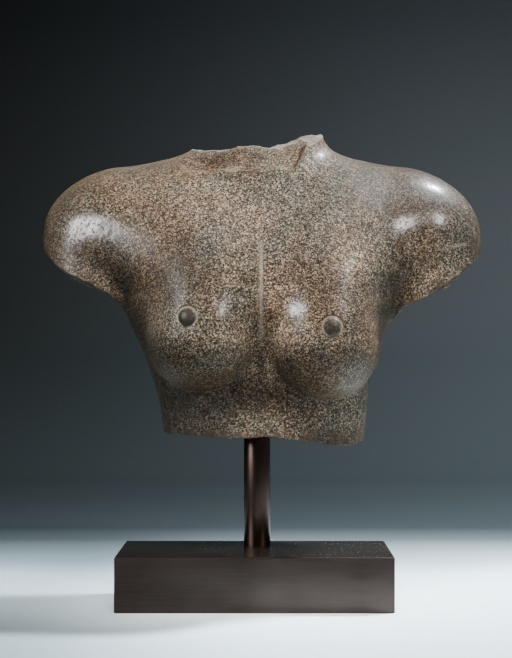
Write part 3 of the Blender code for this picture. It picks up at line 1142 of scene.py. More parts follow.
class Graph:
    """A node tree that is being built."""

    SPOT_EDGE = 0.08

    def __init__(self, tree: bpy.types.NodeTree) -> None:
        """Starts on a node tree."""
        self.tree = tree

    def add(self, kind: str, sockets: dict[Any, Any] | None = None, **settings: Any) -> bpy.types.Node:
        """Adds a node.

        Args:
            kind: The node's type, without its ShaderNode prefix.
            sockets: What goes into its inputs: another node's output, or a value.
            settings: The node's own settings by name.

        Returns:
            The node.
        """
        node = self.tree.nodes.new(f"ShaderNode{kind}")
        for name, value in settings.items():
            setattr(node, name, value)
        for name, value in (sockets or {}).items():
            if isinstance(value, bpy.types.NodeSocket):
                self.tree.links.new(value, node.inputs[name])
            else:
                node.inputs[name].default_value = value
        return node

    def math(self, operation: str, first: Any, second: Any = 0.0, third: Any = 0.0,
             clamp: bool = True) -> bpy.types.NodeSocket:
        """Adds a sum.

        Args:
            operation: What it does.
            first: An output or a number.
            second: An output or a number.
            third: An output or a number, where the sum takes three.
            clamp: Whether the result is held within 0 to 1.

        Returns:
            The result.
        """
        sockets = {0: first, 1: second, 2: third}
        return self.add("Math", sockets, operation=operation, use_clamp=clamp).outputs[0]

    def product(self, *factors: Any) -> bpy.types.NodeSocket:
        """Multiplies masks and shares, each from 0 to 1.

        Args:
            factors: Outputs or numbers, two at least.

        Returns:
            Their product.
        """
        result = factors[0]
        for factor in factors[1:]:
            result = self.math("MULTIPLY", result, factor)
        return result

    def rest(self, mask: Any) -> bpy.types.NodeSocket:
        """Gives what a mask leaves of 1."""
        return self.math("SUBTRACT", 1.0, mask)

    def vector(self, operation: str, first: Any, second: Any) -> bpy.types.NodeSocket:
        """Adds a sum of two vectors."""
        return self.add("VectorMath", {0: first, 1: second}, operation=operation).outputs[0]

    def scaled(self, vector: Any, by: Any) -> bpy.types.NodeSocket:
        """Multiplies a vector or colour by a number."""
        return self.add("VectorMath", {0: vector, "Scale": by}, operation="SCALE").outputs[0]

    def channel(self, colour: Any, name: str) -> bpy.types.NodeSocket:
        """Reads one channel of a colour."""
        return self.add("SeparateColor", {"Color": colour}).outputs[name]

    def axis(self, vector: Any, name: str) -> bpy.types.NodeSocket:
        """Reads one axis of a vector."""
        return self.add("SeparateXYZ", {"Vector": vector}).outputs[name]

    def facing_up(self) -> bpy.types.NodeSocket:
        """Gives 1 where the face looks up, 0 where it is upright and -1 where it looks down."""
        return self.axis(self.add("NewGeometry").outputs["Normal"], "Z")

    def read(self, mark: Mark) -> bpy.types.NodeSocket:
        """Reads what is stored on the vertices under this mark."""
        return self.add("Attribute", attribute_name=mark.value).outputs["Fac"]

    def step(self, value: Any, low: float, high: float) -> bpy.types.NodeSocket:
        """Adds a smooth step.

        Args:
            value: What is read.
            low: Where it starts to rise from 0. It may lie over high, and then the step falls.
            high: Where it reaches 1.

        Returns:
            The step, from 0 to 1.
        """
        sockets = {"Value": value, "From Min": low, "From Max": high}
        return self.add("MapRange", sockets, interpolation_type="SMOOTHSTEP").outputs["Result"]

    def spread(self, value: Any, low: float, high: float) -> bpy.types.NodeSocket:
        """Spreads a value of 0 to 1 over low to high."""
        return self.add("MapRange", {"Value": value, "To Min": low, "To Max": high}).outputs["Result"]

    def noise(self, where: Any, size: float, detail: float = 3.0, **sockets: float) -> bpy.types.NodeSocket:
        """Adds noise whose blots are about this size.

        Args:
            where: The coordinates it reads.
            size: The size of a blot in metres.
            detail: How many finer layers it has.
            sockets: More of the node's inputs by name.

        Returns:
            The noise, near 0.5.
        """
        sockets = {"Vector": where, "Scale": 1.0 / size, "Detail": detail, **sockets}
        return self.add("TexNoise", sockets).outputs[0]

    def ramp(self, factor: Any, stops: tuple[tuple[float, Triple], ...]) -> bpy.types.NodeSocket:
        """Adds a colour ramp.

        Args:
            factor: What it reads.
            stops: Places and their colours.

        Returns:
            The colour.
        """
        node = self.add("ValToRGB", {"Fac": factor})
        while len(node.color_ramp.elements) < len(stops):
            node.color_ramp.elements.new(0.5)
        for element, (place, colour) in zip(node.color_ramp.elements, stops):
            element.position = place
            element.color = (*colour, 1.0)
        return node.outputs["Color"]

    def mix(self, factor: Any, first: Any, second: Any, blend: str = "MIX") -> bpy.types.NodeSocket:
        """Mixes two colours.

        Args:
            factor: How much of the second.
            first: A colour, or an output with one.
            second: A colour, or an output with one.
            blend: How they are mixed.

        Returns:
            The mixed colour.
        """
        colours = [(*each, 1.0) if isinstance(each, tuple) else each for each in (first, second)]
        node = self.add("Mix", {0: factor, 6: colours[0], 7: colours[1]}, data_type="RGBA", blend_type=blend)
        return node.outputs[2]

    def tint(self, colour: Any, by: Any) -> bpy.types.NodeSocket:
        """Multiplies a colour by another."""
        return self.mix(1.0, colour, by, "MULTIPLY")

    def cover(self, colour: Any, mask: Any, share: float, over: Triple) -> bpy.types.NodeSocket:
        """Lays a colour over another.

        Args:
            colour: What it is laid over.
            mask: Where it is laid.
            share: How thick it is at most, from 0 to 1.
            over: The colour that is laid.

        Returns:
            The covered colour.
        """
        return self.mix(self.product(mask, share), colour, over)

    def spots(self, where: Any, scale: float, reach: float, rarity: float) -> bpy.types.NodeSocket:
        """Adds round spots of many sizes.

        Args:
            where: The coordinates it reads.
            scale: How many cells there are in a metre, each with one spot at most.
            reach: How much larger the largest spot is than the smallest, as a share of a cell.
            rarity: How much each spot is shrunk. The smallest ones vanish.

        Returns:
            1 in a spot and 0 outside.
        """
        cells = self.add("TexVoronoi", {"Vector": where, "Scale": scale})
        size = self.channel(cells.outputs["Color"], "Red")
        radius = self.math("MULTIPLY_ADD", size, reach, -rarity, clamp=False)
        inside = self.math("SUBTRACT", radius, cells.outputs["Distance"], clamp=False)
        return self.step(inside, 0.0, self.SPOT_EDGE)

    def bump(self, height: Any, distance: float) -> bpy.types.NodeSocket:
        """Adds a bump of this height in metres."""
        return self.add("Bump", {"Height": height, "Distance": distance, "Strength": 1.0}).outputs["Normal"]


class SpeckleGroup:
    """The crystals of the granite, as a node group that both of its finishes use."""

    NAME = "granite_speckle"
    CRYSTAL = 0.00100
    FINE_CRYSTAL = 0.0006
    BEND_SCALE = 620.0
    BEND = 0.0026
    FINE_SHARE = 0.34
    CLUMP = 0.0075
    CLUMP_SHARE = 0.40
    SHADES = (
        (0.00, (0.006, 0.004, 0.003)),
        (0.24, (0.013, 0.010, 0.007)),
        (0.44, (0.027, 0.021, 0.015)),
        (0.62, (0.047, 0.038, 0.028)),
        (0.80, (0.084, 0.069, 0.052)),
        (1.00, (0.180, 0.153, 0.120)),
    )
    PATCH = 0.055
    PATCH_STEPS = (0.36, 0.64)
    COOL_TINT = (0.94, 0.97, 0.95)
    WARM_TINT = (1.10, 0.93, 0.78)
    BLOT = 0.018
    BLOT_STEPS = (0.45, 0.70)
    BLOT_SHIFT = (1.0, 2.0, 3.0)
    BLOT_SHARE = 0.7
    PINK_TINT = (1.16, 0.98, 0.92)
    RUSTY_STEPS = (0.955, 0.965)
    RUSTY_SHARE = 0.65
    RUSTY_GRAIN = (0.085, 0.042, 0.021)
    PIT = 0.0042
    PIT_REACH = 0.36
    PIT_RARITY = 0.11
    PIT_SHARE = 0.8
    PIT_FLOOR = (0.030, 0.022, 0.016)
    GRAIN_HEIGHT = 0.25

    @classmethod
    def grains(cls, graph: Graph, where: Any, bent: Any) -> tuple[bpy.types.NodeSocket, bpy.types.NodeSocket]:
        """Adds the crystals, which lie closer in clumps.

        Args:
            graph: The group's graph.
            where: The coordinates the clumps read.
            bent: The coordinates the crystals read.

        Returns:
            How pale each crystal is, and the share of rusty grains.
        """
        crystals = graph.add("TexVoronoi", {"Vector": bent, "Scale": 1.0 / cls.CRYSTAL}).outputs["Color"]
        fine = graph.add("TexVoronoi", {"Vector": bent, "Scale": 1.0 / cls.FINE_CRYSTAL}).outputs["Color"]
        clump = graph.noise(where, cls.CLUMP, 2.0)
        lean = graph.math("MULTIPLY_ADD", clump, cls.CLUMP_SHARE, -cls.CLUMP_SHARE / 2, clamp=False)
        mixed = graph.channel(fine, "Green")
        mixed = graph.math("MULTIPLY_ADD", mixed, cls.FINE_SHARE, -cls.FINE_SHARE / 2, clamp=False)
        tone = graph.math("ADD", graph.channel(crystals, "Red"), lean, clamp=False)
        return graph.math("ADD", tone, mixed), graph.step(graph.channel(crystals, "Blue"), *cls.RUSTY_STEPS)

    @classmethod
    def tree(cls) -> bpy.types.NodeTree:
        """Builds the group the first time, and finds it after that.

        Returns:
            The group: Vector in, and Color, Height and Pits out.
        """
        if cls.NAME in bpy.data.node_groups:
            return bpy.data.node_groups[cls.NAME]
        tree = bpy.data.node_groups.new(cls.NAME, "ShaderNodeTree")
        tree.interface.new_socket("Vector", in_out="INPUT", socket_type="NodeSocketVector")
        tree.interface.new_socket("Color", in_out="OUTPUT", socket_type="NodeSocketColor")
        for name in ("Height", "Pits"):
            tree.interface.new_socket(name, in_out="OUTPUT", socket_type="NodeSocketFloat")
        graph = Graph(tree)
        where = tree.nodes.new("NodeGroupInput").outputs["Vector"]
        wander = graph.add("TexNoise", {"Vector": where, "Scale": cls.BEND_SCALE, "Detail": 2.0})
        shift = graph.vector("SUBTRACT", wander.outputs["Color"], (0.5, 0.5, 0.5))
        bent = graph.vector("ADD", where, graph.scaled(shift, cls.BEND))
        tone, rusty = cls.grains(graph, where, bent)
        warmth = graph.step(graph.noise(where, cls.PATCH), *cls.PATCH_STEPS)
        tint = graph.mix(warmth, cls.COOL_TINT, cls.WARM_TINT)
        pinkness = graph.noise(graph.vector("ADD", where, cls.BLOT_SHIFT), cls.BLOT)
        tint = graph.cover(tint, graph.step(pinkness, *cls.BLOT_STEPS), cls.BLOT_SHARE, cls.PINK_TINT)
        colour = graph.tint(graph.ramp(tone, cls.SHADES), tint)
        colour = graph.cover(colour, rusty, cls.RUSTY_SHARE, cls.RUSTY_GRAIN)
        pits = graph.spots(bent, 1.0 / cls.PIT, cls.PIT_REACH, cls.PIT_RARITY)
        colour = graph.cover(colour, pits, cls.PIT_SHARE, cls.PIT_FLOOR)
        height = graph.math("SUBTRACT", graph.product(tone, cls.GRAIN_HEIGHT), pits)
        out = tree.nodes.new("NodeGroupOutput")
        for name, socket in (("Color", colour), ("Height", height), ("Pits", pits)):
            tree.links.new(socket, out.inputs[name])
        return tree

    @classmethod
    def use(cls, graph: Graph, where: Any) -> Any:
        """Adds the group to a finish.

        Args:
            graph: The finish's graph.
            where: The coordinates it reads.

        Returns:
            The group's outputs.
        """
        group = graph.tree.nodes.new("ShaderNodeGroup")
        group.node_tree = cls.tree()
        graph.tree.links.new(where, group.inputs["Vector"])
        return group.outputs


@dataclass(frozen=True)
class Finish:
    """A finish of one piece."""

    name: str

    def start(self) -> tuple[bpy.types.Material, Graph, bpy.types.Node, bpy.types.NodeSocket]:
        """Starts the finish's material.

        Returns:
            The material, its graph, its shader and the coordinates its patterns read.
        """
        material = bpy.data.materials.new(self.name)
        material.use_nodes = True
        graph = Graph(material.node_tree)
        shader = material.node_tree.nodes["Principled BSDF"]
        return material, graph, shader, graph.add("TexCoord").outputs["Object"]

    def wire(self, graph: Graph, shader: bpy.types.Node, **sockets: Any) -> None:
        """Puts colours, masks and values into the shader.

        Args:
            graph: The material's graph.
            shader: Its shader.
            sockets: The shader's inputs, with _ for a space.
        """
        for name, value in sockets.items():
            socket = shader.inputs[name.replace("_", " ")]
            if isinstance(value, bpy.types.NodeSocket):
                graph.tree.links.new(value, socket)
            else:
                socket.default_value = value


@dataclass(frozen=True)
class PolishedGranite(Finish):
    """The carved skin: polished in patches, duller low on the ribs, rusty along its broken rims, with painted
    shade on its undersides and in its recesses and painted light and shade in patches.
    """

    name: str = "polished_granite"
    gap_size: float = 0.012
    rust: Triple = (0.040, 0.022, 0.013)
    rust_share: float = 0.7
    rust_rim: Pair = (0.15, 0.80)
    rust_gaps: Pair = (0.46, 0.62)
    lip: Triple = (0.045, 0.028, 0.016)
    lip_share: float = 0.5
    lip_heights: Pair = (0.167, 0.158)
    lip_gaps: Pair = (0.40, 0.58)
    # Painted shade: faces that look down are tinted darker.
    underside: Triple = (0.70, 0.63, 0.54)
    underside_shade_facing: Pair = (0.05, -0.45)
    # Painted shade in the skin's recesses: the tint laid where the stored mask is deep.
    hollow: Triple = (0.30, 0.28, 0.27)
    line: Triple = (0.19, 0.163, 0.128)
    line_share: float = 0.85
    dome: Triple = (0.018, 0.015, 0.011)
    dome_share: float = 0.85
    glossy_heights: Pair = (0.205, 0.245)
    wear_size: float = 0.03
    wear_steps: Pair = (0.2, 0.6)
    glint_size: float = 0.0026
    glint_steps: Pair = (0.36, 0.50)
    gloss: float = 0.80
    least_gloss: float = 0.015
    roughness: float = 0.5
    specular: float = 0.07
    polish_roughness: float = 0.21
    polish_index: float = 1.5
    relief: float = 0.00035

    def colour(self, graph: Graph, where: Any, stone: Any) -> bpy.types.NodeSocket:
        """Lays the rust, the painted shade on undersides and in recesses, the painted light and shade and the
        cut lines over the stone's own colour.

        Args:
            graph: The material's graph.
            where: The coordinates its patterns read.
            stone: The stone's own colour.

        Returns:
            The skin's colour.
        """
        gaps = graph.noise(where, self.gap_size)
        rust = graph.step(graph.read(Mark.RIM), *self.rust_rim)
        rust = graph.product(rust, graph.step(gaps, *self.rust_gaps))
        colour = graph.cover(stone, rust, self.rust_share, self.rust)
        lip = graph.step(graph.axis(where, "Z"), *self.lip_heights)
        lip = graph.product(lip, graph.step(gaps, *self.lip_gaps))
        colour = graph.cover(colour, lip, self.lip_share, self.lip)
        # Painted shade on faces that look down.
        below = graph.step(graph.facing_up(), *self.underside_shade_facing)
        colour = graph.tint(colour, graph.mix(below, (1.0, 1.0, 1.0), self.underside))
        # Painted light and shade from the stored patches.
        colour = graph.scaled(colour, graph.read(Mark.PAINTED_LIGHT_TONE))
        # Painted shade in recesses.
        colour = graph.mix(graph.read(Mark.HOLLOW_SHADE), colour, graph.tint(colour, self.hollow))
        colour = graph.cover(colour, graph.read(Mark.CUT_LINE), self.line_share, self.line)
        return graph.cover(colour, graph.read(Mark.DOME), self.dome_share, self.dome)

    def coat(self, graph: Graph, where: Any, pits: Any) -> bpy.types.NodeSocket:
        """Gives the polish, which is worn, broken up by the crystals and gone from the recesses that take the
        painted shade, from pits and from cuts.

        Args:
            graph: The material's graph.
            where: The coordinates its patterns read.
            pits: Where the pits are.

        Returns:
            The weight of the polished coat.
        """
        glossy = graph.step(graph.axis(where, "Z"), *self.glossy_heights)
        worn = graph.step(graph.noise(where, self.wear_size), *self.wear_steps)
        glints = graph.step(graph.noise(where, self.glint_size, 2.0), *self.glint_steps)
        coat = graph.product(glossy, worn, graph.product(graph.read(Mark.POLISH), self.gloss), glints)
        coat = graph.math("ADD", coat, self.least_gloss)
        cuts = graph.math("MAXIMUM", graph.read(Mark.RIM), graph.read(Mark.CUT_LINE))
        return graph.product(coat, graph.rest(graph.read(Mark.HOLLOW_SHADE)), graph.rest(pits), graph.rest(cuts))

    def material(self) -> bpy.types.Material:
        """Builds the material.

        Returns:
            The material.
        """
        material, graph, shader, where = self.start()
        speckle = SpeckleGroup.use(graph, where)
        self.wire(graph, shader, Base_Color=self.colour(graph, where, speckle["Color"]),
                  Roughness=self.roughness, Specular_IOR_Level=self.specular,
                  Coat_Weight=self.coat(graph, where, speckle["Pits"]), Coat_IOR=self.polish_index,
                  Coat_Roughness=self.polish_roughness, Normal=graph.bump(speckle["Height"], self.relief))
        return material


@dataclass(frozen=True)
class BrokenGranite(Finish):
    """The breaks: matt and granular, brown, and paler where the neck's break faces up."""

    name: str = "broken_granite"
    brown: Triple = (0.84, 0.74, 0.62)
    deep_brown: Triple = (0.56, 0.46, 0.35)
    stain_size: float = 0.014
    stain_steps: Pair = (0.40, 0.62)
    # The paler colour laid where the neck's break faces up.
    dust: Triple = (0.120, 0.115, 0.103)
    dust_share: float = 0.70
    pale_top_facing: Pair = (0.80, 0.97)
    pale_top_heights: Pair = (0.405, 0.413)
    bare_size: float = 0.0045
    bare_steps: Pair = (0.62, 0.42)
    bare_share: float = 0.45
    grain_size: float = 0.0022
    grain_roughness: float = 0.7
    grain_share: float = 0.8
    relief: float = 0.0016
    roughness: float = 0.88
    specular: float = 0.2

    def material(self) -> bpy.types.Material:
        """Builds the material.

        Returns:
            The material.
        """
        material, graph, shader, where = self.start()
        speckle = SpeckleGroup.use(graph, where)
        stain = graph.step(graph.noise(where, self.stain_size, 4.0), *self.stain_steps)
        colour = graph.tint(speckle["Color"], graph.mix(stain, self.brown, self.deep_brown))
        # Paler where the neck's break faces up, high on the stone.
        dusty = graph.step(graph.facing_up(), *self.pale_top_facing)
        dusty = graph.product(dusty, graph.step(graph.axis(where, "Z"), *self.pale_top_heights), self.dust_share)
        bare = graph.step(graph.noise(where, self.bare_size, 4.0), *self.bare_steps)
        bare = graph.math("MULTIPLY_ADD", bare, self.bare_share, 1.0 - self.bare_share)
        colour = graph.mix(graph.product(dusty, bare), colour, self.dust)
        grains = graph.noise(where, self.grain_size, 5.0, Roughness=self.grain_roughness)
        crystals = graph.product(speckle["Height"], 1.0 - self.grain_share)
        relief = graph.math("ADD", graph.product(grains, self.grain_share), crystals)
        self.wire(graph, shader, Base_Color=colour, Roughness=self.roughness,
                  Specular_IOR_Level=self.specular, Normal=graph.bump(relief, self.relief))
        return material


@dataclass(frozen=True)
class RodMetal(Finish):
    """The rod: dark red-brown bronze, drawn lengthways."""

    name: str = "dark_rod_bronze"
    dark: Triple = (0.034, 0.013, 0.007)
    light: Triple = (0.054, 0.021, 0.012)
    patch_size: float = 0.03
    drawn: Triple = (1.0, 1.0, 0.02)
    line: Triple = (0.026, 0.017, 0.012)
    line_size: float = 0.0016
    line_steps: Pair = (0.3, 0.7)
    roughness: Pair = (0.22, 0.36)
    metal: float = 0.75
    relief: float = 0.00003

    def material(self) -> bpy.types.Material:
        """Builds the material.

        Returns:
            The material.
        """
        material, graph, shader, where = self.start()
        drawn = graph.add("Mapping", {"Vector": where, "Scale": self.drawn}).outputs[0]
        lines = graph.noise(drawn, self.line_size)
        colour = graph.mix(graph.noise(where, self.patch_size), self.dark, self.light)
        colour = graph.mix(graph.step(lines, *self.line_steps), colour, self.line)
        self.wire(graph, shader, Base_Color=colour, Roughness=graph.spread(lines, *self.roughness),
                  Metallic=self.metal, Normal=graph.bump(lines, self.relief))
        return material


@dataclass(frozen=True)
class PlinthMetal(Finish):
    """The plinth: dark bronze rubbed along its length, with dust on top."""

    name: str = "dark_plinth_bronze"
    dark: Triple = (0.027, 0.018, 0.0155)
    light: Triple = (0.041, 0.030, 0.026)
    patch_size: float = 0.045
    patch_steps: Pair = (0.3, 0.7)
    rubbed: Triple = (0.03, 1.0, 1.0)
    line: Triple = (0.054, 0.041, 0.034)
    line_size: float = 0.0012
    line_steps: Pair = (0.35, 0.75)
    line_share: float = 0.45
    top_facing: Pair = (0.80, 0.95)
    top: Triple = (0.062, 0.050, 0.045)
    top_share: float = 0.5
    top_shine: float = 0.16
    dust: Triple = (0.17, 0.164, 0.152)
    dust_share: float = 0.80
    dust_scale: float = 520.0
    dust_reach: float = 0.75
    dust_rarity: float = 0.42
    dust_drift: float = 0.04
    dust_drift_steps: Pair = (0.34, 0.55)
    dust_across: Pair = (-0.09, 0.05)
    dust_dullness: float = 0.4
    roughness: Pair = (0.30, 0.46)
    metal: float = 0.8
    relief: float = 0.00002

    def dusty(self, graph: Graph, where: Any, top: Any) -> bpy.types.NodeSocket:
        """Scatters the dust over the right part of the top.

        Args:
            graph: The material's graph.
            where: The coordinates its patterns read.
            top: Where the top is.

        Returns:
            Where a speck of dust lies.
        """
        specks = graph.spots(where, self.dust_scale, self.dust_reach, self.dust_rarity)
        drifts = graph.step(graph.noise(where, self.dust_drift), *self.dust_drift_steps)
        right = graph.step(graph.axis(where, "X"), *self.dust_across)
        return graph.product(specks, graph.product(drifts, right), top)

    def material(self) -> bpy.types.Material:
        """Builds the material.

        Returns:
            The material.
        """
        material, graph, shader, where = self.start()
        rubbed = graph.add("Mapping", {"Vector": where, "Scale": self.rubbed}).outputs[0]
        lines = graph.noise(rubbed, self.line_size, 4.0)
        patches = graph.step(graph.noise(where, self.patch_size, 4.0), *self.patch_steps)
        top = graph.step(graph.facing_up(), *self.top_facing)
        dust = self.dusty(graph, where, top)
        colour = graph.mix(patches, self.dark, self.light)
        colour = graph.cover(colour, graph.step(lines, *self.line_steps), self.line_share, self.line)
        colour = graph.cover(colour, top, self.top_share, self.top)
        colour = graph.cover(colour, dust, self.dust_share, self.dust)
        rough = graph.spread(lines, *self.roughness)
        rough = graph.math("SUBTRACT", rough, graph.product(top, self.top_shine))
        rough = graph.math("ADD", rough, graph.product(dust, self.dust_dullness))
        metal = graph.math("SUBTRACT", self.metal, graph.product(dust, self.metal))
        self.wire(graph, shader, Base_Color=colour, Roughness=rough, Metallic=metal,
                  Normal=graph.bump(lines, self.relief))
        return material


@dataclass
class Mount:
    """The rod and the plinth that hold the stone up."""

    sides: int = 160
    chamfer: float = 0.0004
    chamfer_steps: int = 2
    edge: float = 0.0012
    edge_steps: int = 4
    clearance: float = 0.0003
    sharp_angle: float = 30.0

    def rod(self) -> bpy.types.Object:
        """Turns the rod, with its ends eased.

        Returns:
            The rod.
        """
        low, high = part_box("mount_rod")
        rod = Bench.drum((high.x - low.x) / 2, high.z - low.z, (low + high) / 2, self.sides)
        rod.name = "mount_rod_drawn"
        Bench.modify(rod, "BEVEL", width=self.chamfer, segments=self.chamfer_steps, limit_method="ANGLE")
        Bench.smooth_off(rod, self.sharp_angle)
        rod.data.materials.append(RodMetal().material())
        return rod

    def plinth(self) -> bpy.types.Object:
        """Makes the plinth, with eased edges and the recess that the rod's foot goes into.

        Returns:
            The plinth.
        """
        low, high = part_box("plinth_block")
        rod_low, rod_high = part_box("mount_rod")
        Bench.clear()
        bpy.ops.mesh.primitive_cube_add(size=1.0, location=(low + high) / 2)
        plinth = bpy.context.object
        plinth.name = "plinth_block_rubbed"
        plinth.scale = high - low
        bpy.ops.object.transform_apply(location=True, rotation=True, scale=True)
        Bench.modify(plinth, "BEVEL", width=self.edge, segments=self.edge_steps, limit_method="ANGLE")
        foot = rod_low.z - self.clearance
        top_middle = ((rod_low.x + rod_high.x) / 2, (rod_low.y + rod_high.y) / 2, high.z)
        radius = (rod_high.x - rod_low.x) / 2 + self.clearance
        recess = Bench.drum(radius, 2 * (high.z - foot), top_middle, self.sides)
        Bench.cut(plinth, recess, "EXACT")
        Bench.smooth_off(plinth, self.sharp_angle)
        plinth.data.materials.clear()
        plinth.data.materials.append(PlinthMetal().material())
        return plinth

    def build(self) -> None:
        """Makes both and sets them in the frame's place."""
        made = ((self.rod(), "mount_rod", "rod_metal"), (self.plinth(), "plinth_block", "plinth_metal"))
        for piece, node, slot in made:
            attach(piece, "root")
            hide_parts(node)
            LOG.info("%s: %d faces", piece.name, len(piece.data.polygons))


@dataclass(frozen=True)
class SoftBox:
    """A soft light. Its azimuth is from the camera's side towards the viewer's right, in degrees."""

    name: str
    azimuth: float
    elevation: float
    distance: float
    size: Pair
    power: float
    colour: Triple = (1.0, 1.0, 1.0)
    aim: Triple = (0.0, 0.0, 0.30)
    spread: float = 180.0
    glints: bool = True
    fills: bool = True

    def hang(self) -> None:
        """Hangs the light, aimed at the stone."""
        turn, rise = math.radians(self.azimuth), math.radians(self.elevation)
        away = Vector((math.cos(rise) * math.sin(turn), -math.cos(rise) * math.cos(turn), math.sin(rise)))
        Bench.clear()
        bpy.ops.object.light_add(type="AREA", location=Vector(self.aim) + away * self.distance)
        lamp = bpy.context.object
        lamp.name = self.name
        lamp.rotation_euler = away.to_track_quat("Z", "Y").to_euler()
        lamp.data.shape = "RECTANGLE"
        lamp.data.size, lamp.data.size_y = self.size
        lamp.data.energy = self.power
        lamp.data.color = self.colour
        lamp.data.spread = math.radians(self.spread)
        lamp.visible_glossy = self.glints
        lamp.visible_diffuse = self.fills


@dataclass
class Studio:
    """The paper sweep, the soft lights and the camera."""

    lights: tuple[SoftBox, ...] = (
        SoftBox("back_right_light", 114.0, 52.0, 1.9, (0.20, 0.20), 178.0, (0.88, 0.96, 1.0)),
        SoftBox("left_box", -60.0, 14.0, 1.5, (0.80, 0.62), 66.0, (0.97, 0.98, 1.0), fills=False),
        SoftBox("right_box", 56.0, 24.0, 1.6, (0.55, 0.42), 36.0, (1.0, 0.99, 0.97), fills=False),
        SoftBox("chest_light", 0.0, 59.0, 0.60, (0.46, 0.24), 3.2, (1.0, 0.98, 0.94),
                aim=(0.0, -0.03, 0.34), spread=52.0, glints=False),
        SoftBox("room_light", 0.0, 80.0, 1.9, (1.40, 1.40), 3.8, (0.80, 0.91, 1.0), glints=False),
    )
    focal: float = 1642.0
    image: tuple[int, int] = (512, 658)
    vanishing: Pair = (264.0, 352.6)
    camera_at: Triple = (0.0085, -1.524, 0.232)
    sensor: float = 36.0
    sweep_front: float = -1.0
    sweep_back: float = 1.9
    sweep_width: float = 4.4
    sweep_height: float = 2.2
    sweep_radius: float = 0.45
    sweep_steps: int = 24
    sharp_angle: float = 40.0
    room_colour: Triple = (0.55, 0.62, 0.70)
    room_strength: float = 0.05

    def sweep(self) -> None:
        """Lays the paper: a floor that turns up into the backdrop."""
        Bench.clear()
        bpy.ops.mesh.primitive_plane_add(size=1.0)
        paper = bpy.context.object
        paper.name = "paper_sweep"
        depth = self.sweep_back - self.sweep_front
        middle = (0.0, self.sweep_front + depth / 2, 0.0)
        Bench.place(paper, Bench.points(paper) * (self.sweep_width, depth, 0.0) + middle)
        bpy.ops.object.mode_set(mode="EDIT")
        bpy.ops.mesh.select_all(action="DESELECT")
        bpy.ops.mesh.select_mode(type="EDGE")
        bpy.ops.object.mode_set(mode="OBJECT")
        places = Bench.points(paper)
        for edge in paper.data.edges:
            edge.select = all(places[index][1] > middle[1] for index in edge.vertices)
        bpy.ops.object.mode_set(mode="EDIT")
        bpy.ops.mesh.extrude_region_move(TRANSFORM_OT_translate={"value": (0.0, 0.0, self.sweep_height)})
        bpy.ops.object.mode_set(mode="OBJECT")
        Bench.modify(paper, "BEVEL", width=self.sweep_radius, segments=self.sweep_steps, limit_method="ANGLE")
        Bench.smooth_off(paper, self.sharp_angle)
        paper.data.materials.append(Paper().material())

    def camera(self) -> None:
        """Sets up the camera where the photograph was taken from."""
        Bench.clear()
        bpy.ops.object.camera_add(location=self.camera_at, rotation=(math.pi / 2, 0.0, 0.0))
        camera = bpy.context.object
        camera.name = "photo_camera"
        width, height = self.image
        camera.data.sensor_fit = "VERTICAL"
        camera.data.sensor_height = self.sensor
        camera.data.lens = self.focal / height * self.sensor
        camera.data.shift_x = (width / 2 - self.vanishing[0]) / height
        camera.data.shift_y = (self.vanishing[1] - height / 2) / height
        bpy.context.scene.camera = camera

    def build(self) -> None:
        """Sets the whole studio up."""
        self.sweep()
        for light in self.lights:
            light.hang()
        world = bpy.data.worlds.new("studio_room")
        bpy.context.scene.world = world
        world.use_nodes = True
        air = world.node_tree.nodes["Background"]
        air.inputs["Color"].default_value = (*self.room_colour, 1.0)
        air.inputs["Strength"].default_value = self.room_strength
        self.camera()


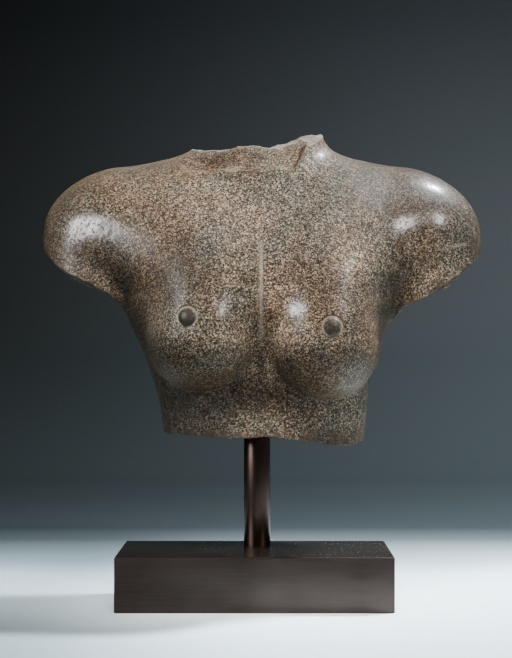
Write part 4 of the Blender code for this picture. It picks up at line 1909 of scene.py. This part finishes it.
@dataclass(frozen=True)
class Paper(Finish):
    """The paper, with painted light: pale where the bust stands, then falling to a dark grey-blue as a
    painted falloff of the light, with painted shade over its left and painted dark in front and far to the
    sides.
    """

    name: str = "paper_with_painted_light"
    run: Pair = (0.20, 3.20)
    # Painted light: the paper's colour falls off as it runs back and up.
    painted_falloff: tuple[tuple[float, Triple], ...] = (
        (0.000, (0.79, 0.89, 0.95)),
        (0.035, (0.43, 0.49, 0.52)),
        (0.070, (0.22, 0.26, 0.28)),
        (0.105, (0.085, 0.101, 0.108)),
        (0.150, (0.036, 0.044, 0.050)),
        (0.300, (0.033, 0.041, 0.044)),
        (0.620, (0.042, 0.049, 0.052)),
        (0.720, (0.058, 0.061, 0.065)),
        (0.880, (0.022, 0.024, 0.026)),
        (1.000, (0.012, 0.013, 0.014)),
    )
    plain: Triple = (1.0, 1.0, 1.0)
    # The painted dark sheet in front and at the sides, where no light falls.
    edge: Triple = (0.10, 0.11, 0.12)
    painted_dark_front: Pair = (-0.85, -0.30)
    painted_dark_sides: Pair = (1.0, 0.42)
    painted_dark_sides_end: Pair = (0.2, 0.5)
    # Painted shade over the left of the floor and of the wall.
    floor_left_shade: Triple = (0.37, 0.40, 0.41)
    floor_across: Pair = (-0.22, 0.05)
    wall_left_shade: Triple = (0.52, 0.49, 0.48)
    wall_left_high_shade: Triple = (0.25, 0.24, 0.21)
    wall_rise: Pair = (1.5, 2.3)
    wall_across: Pair = (-0.9, 0.9)
    wall_starts: Pair = (0.35, 0.80)
    roughness: float = 0.9

    def shade(self, graph: Graph, across: Any, along: Any) -> bpy.types.NodeSocket:
        """Paints shade over the left of the floor and of the wall, and over the wall's left more the higher
        it goes.

        Args:
            graph: The material's graph.
            across: How far to the right.
            along: How far back along the paper.

        Returns:
            The shade's colour.
        """
        floor = graph.mix(graph.step(across, *self.floor_across), self.floor_left_shade, self.plain)
        left = graph.mix(graph.step(along, *self.wall_rise), self.wall_left_shade, self.wall_left_high_shade)
        wall = graph.mix(graph.step(across, *self.wall_across), left, self.plain)
        return graph.mix(graph.step(along, *self.wall_starts), floor, wall)

    def material(self) -> bpy.types.Material:
        """Builds the material.

        Returns:
            The material.
        """
        material, graph, shader, where = self.start()
        across, back, up = (graph.axis(where, name) for name in "XYZ")
        along = graph.math("ADD", back, up, clamp=False)
        low, high = self.run
        place = graph.add("MapRange", {"Value": along, "From Min": low, "From Max": high}).outputs["Result"]
        # Painted falloff of the light along the paper, and painted dark front and sides.
        colour = graph.mix(graph.step(back, *self.painted_dark_front), self.edge, graph.ramp(place, self.painted_falloff))
        inside = graph.step(graph.math("ABSOLUTE", across, clamp=False), *self.painted_dark_sides)
        inside = graph.math("MAXIMUM", inside, graph.step(along, *self.painted_dark_sides_end))
        colour = graph.mix(inside, self.edge, colour)
        # Painted shade over the left.
        colour = graph.tint(colour, self.shade(graph, across, along))
        self.wire(graph, shader, Base_Color=colour, Roughness=self.roughness, Specular_IOR_Level=0.0)
        return material


def main() -> None:
    """Builds the dressed bust and the studio round it."""
    logging.basicConfig(level=logging.INFO, format="%(message)s")
    stone = Torso().build(PolishedGranite().material(), BrokenGranite().material())
    stone.name = "stone_torso_carved"
    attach(stone, "root")
    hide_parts("stone_torso")
    LOG.info("%s: %d triangles", stone.name, len(stone.data.polygons))
    Mount().build()
    Studio().build()


if __name__ == "__main__":
    main()
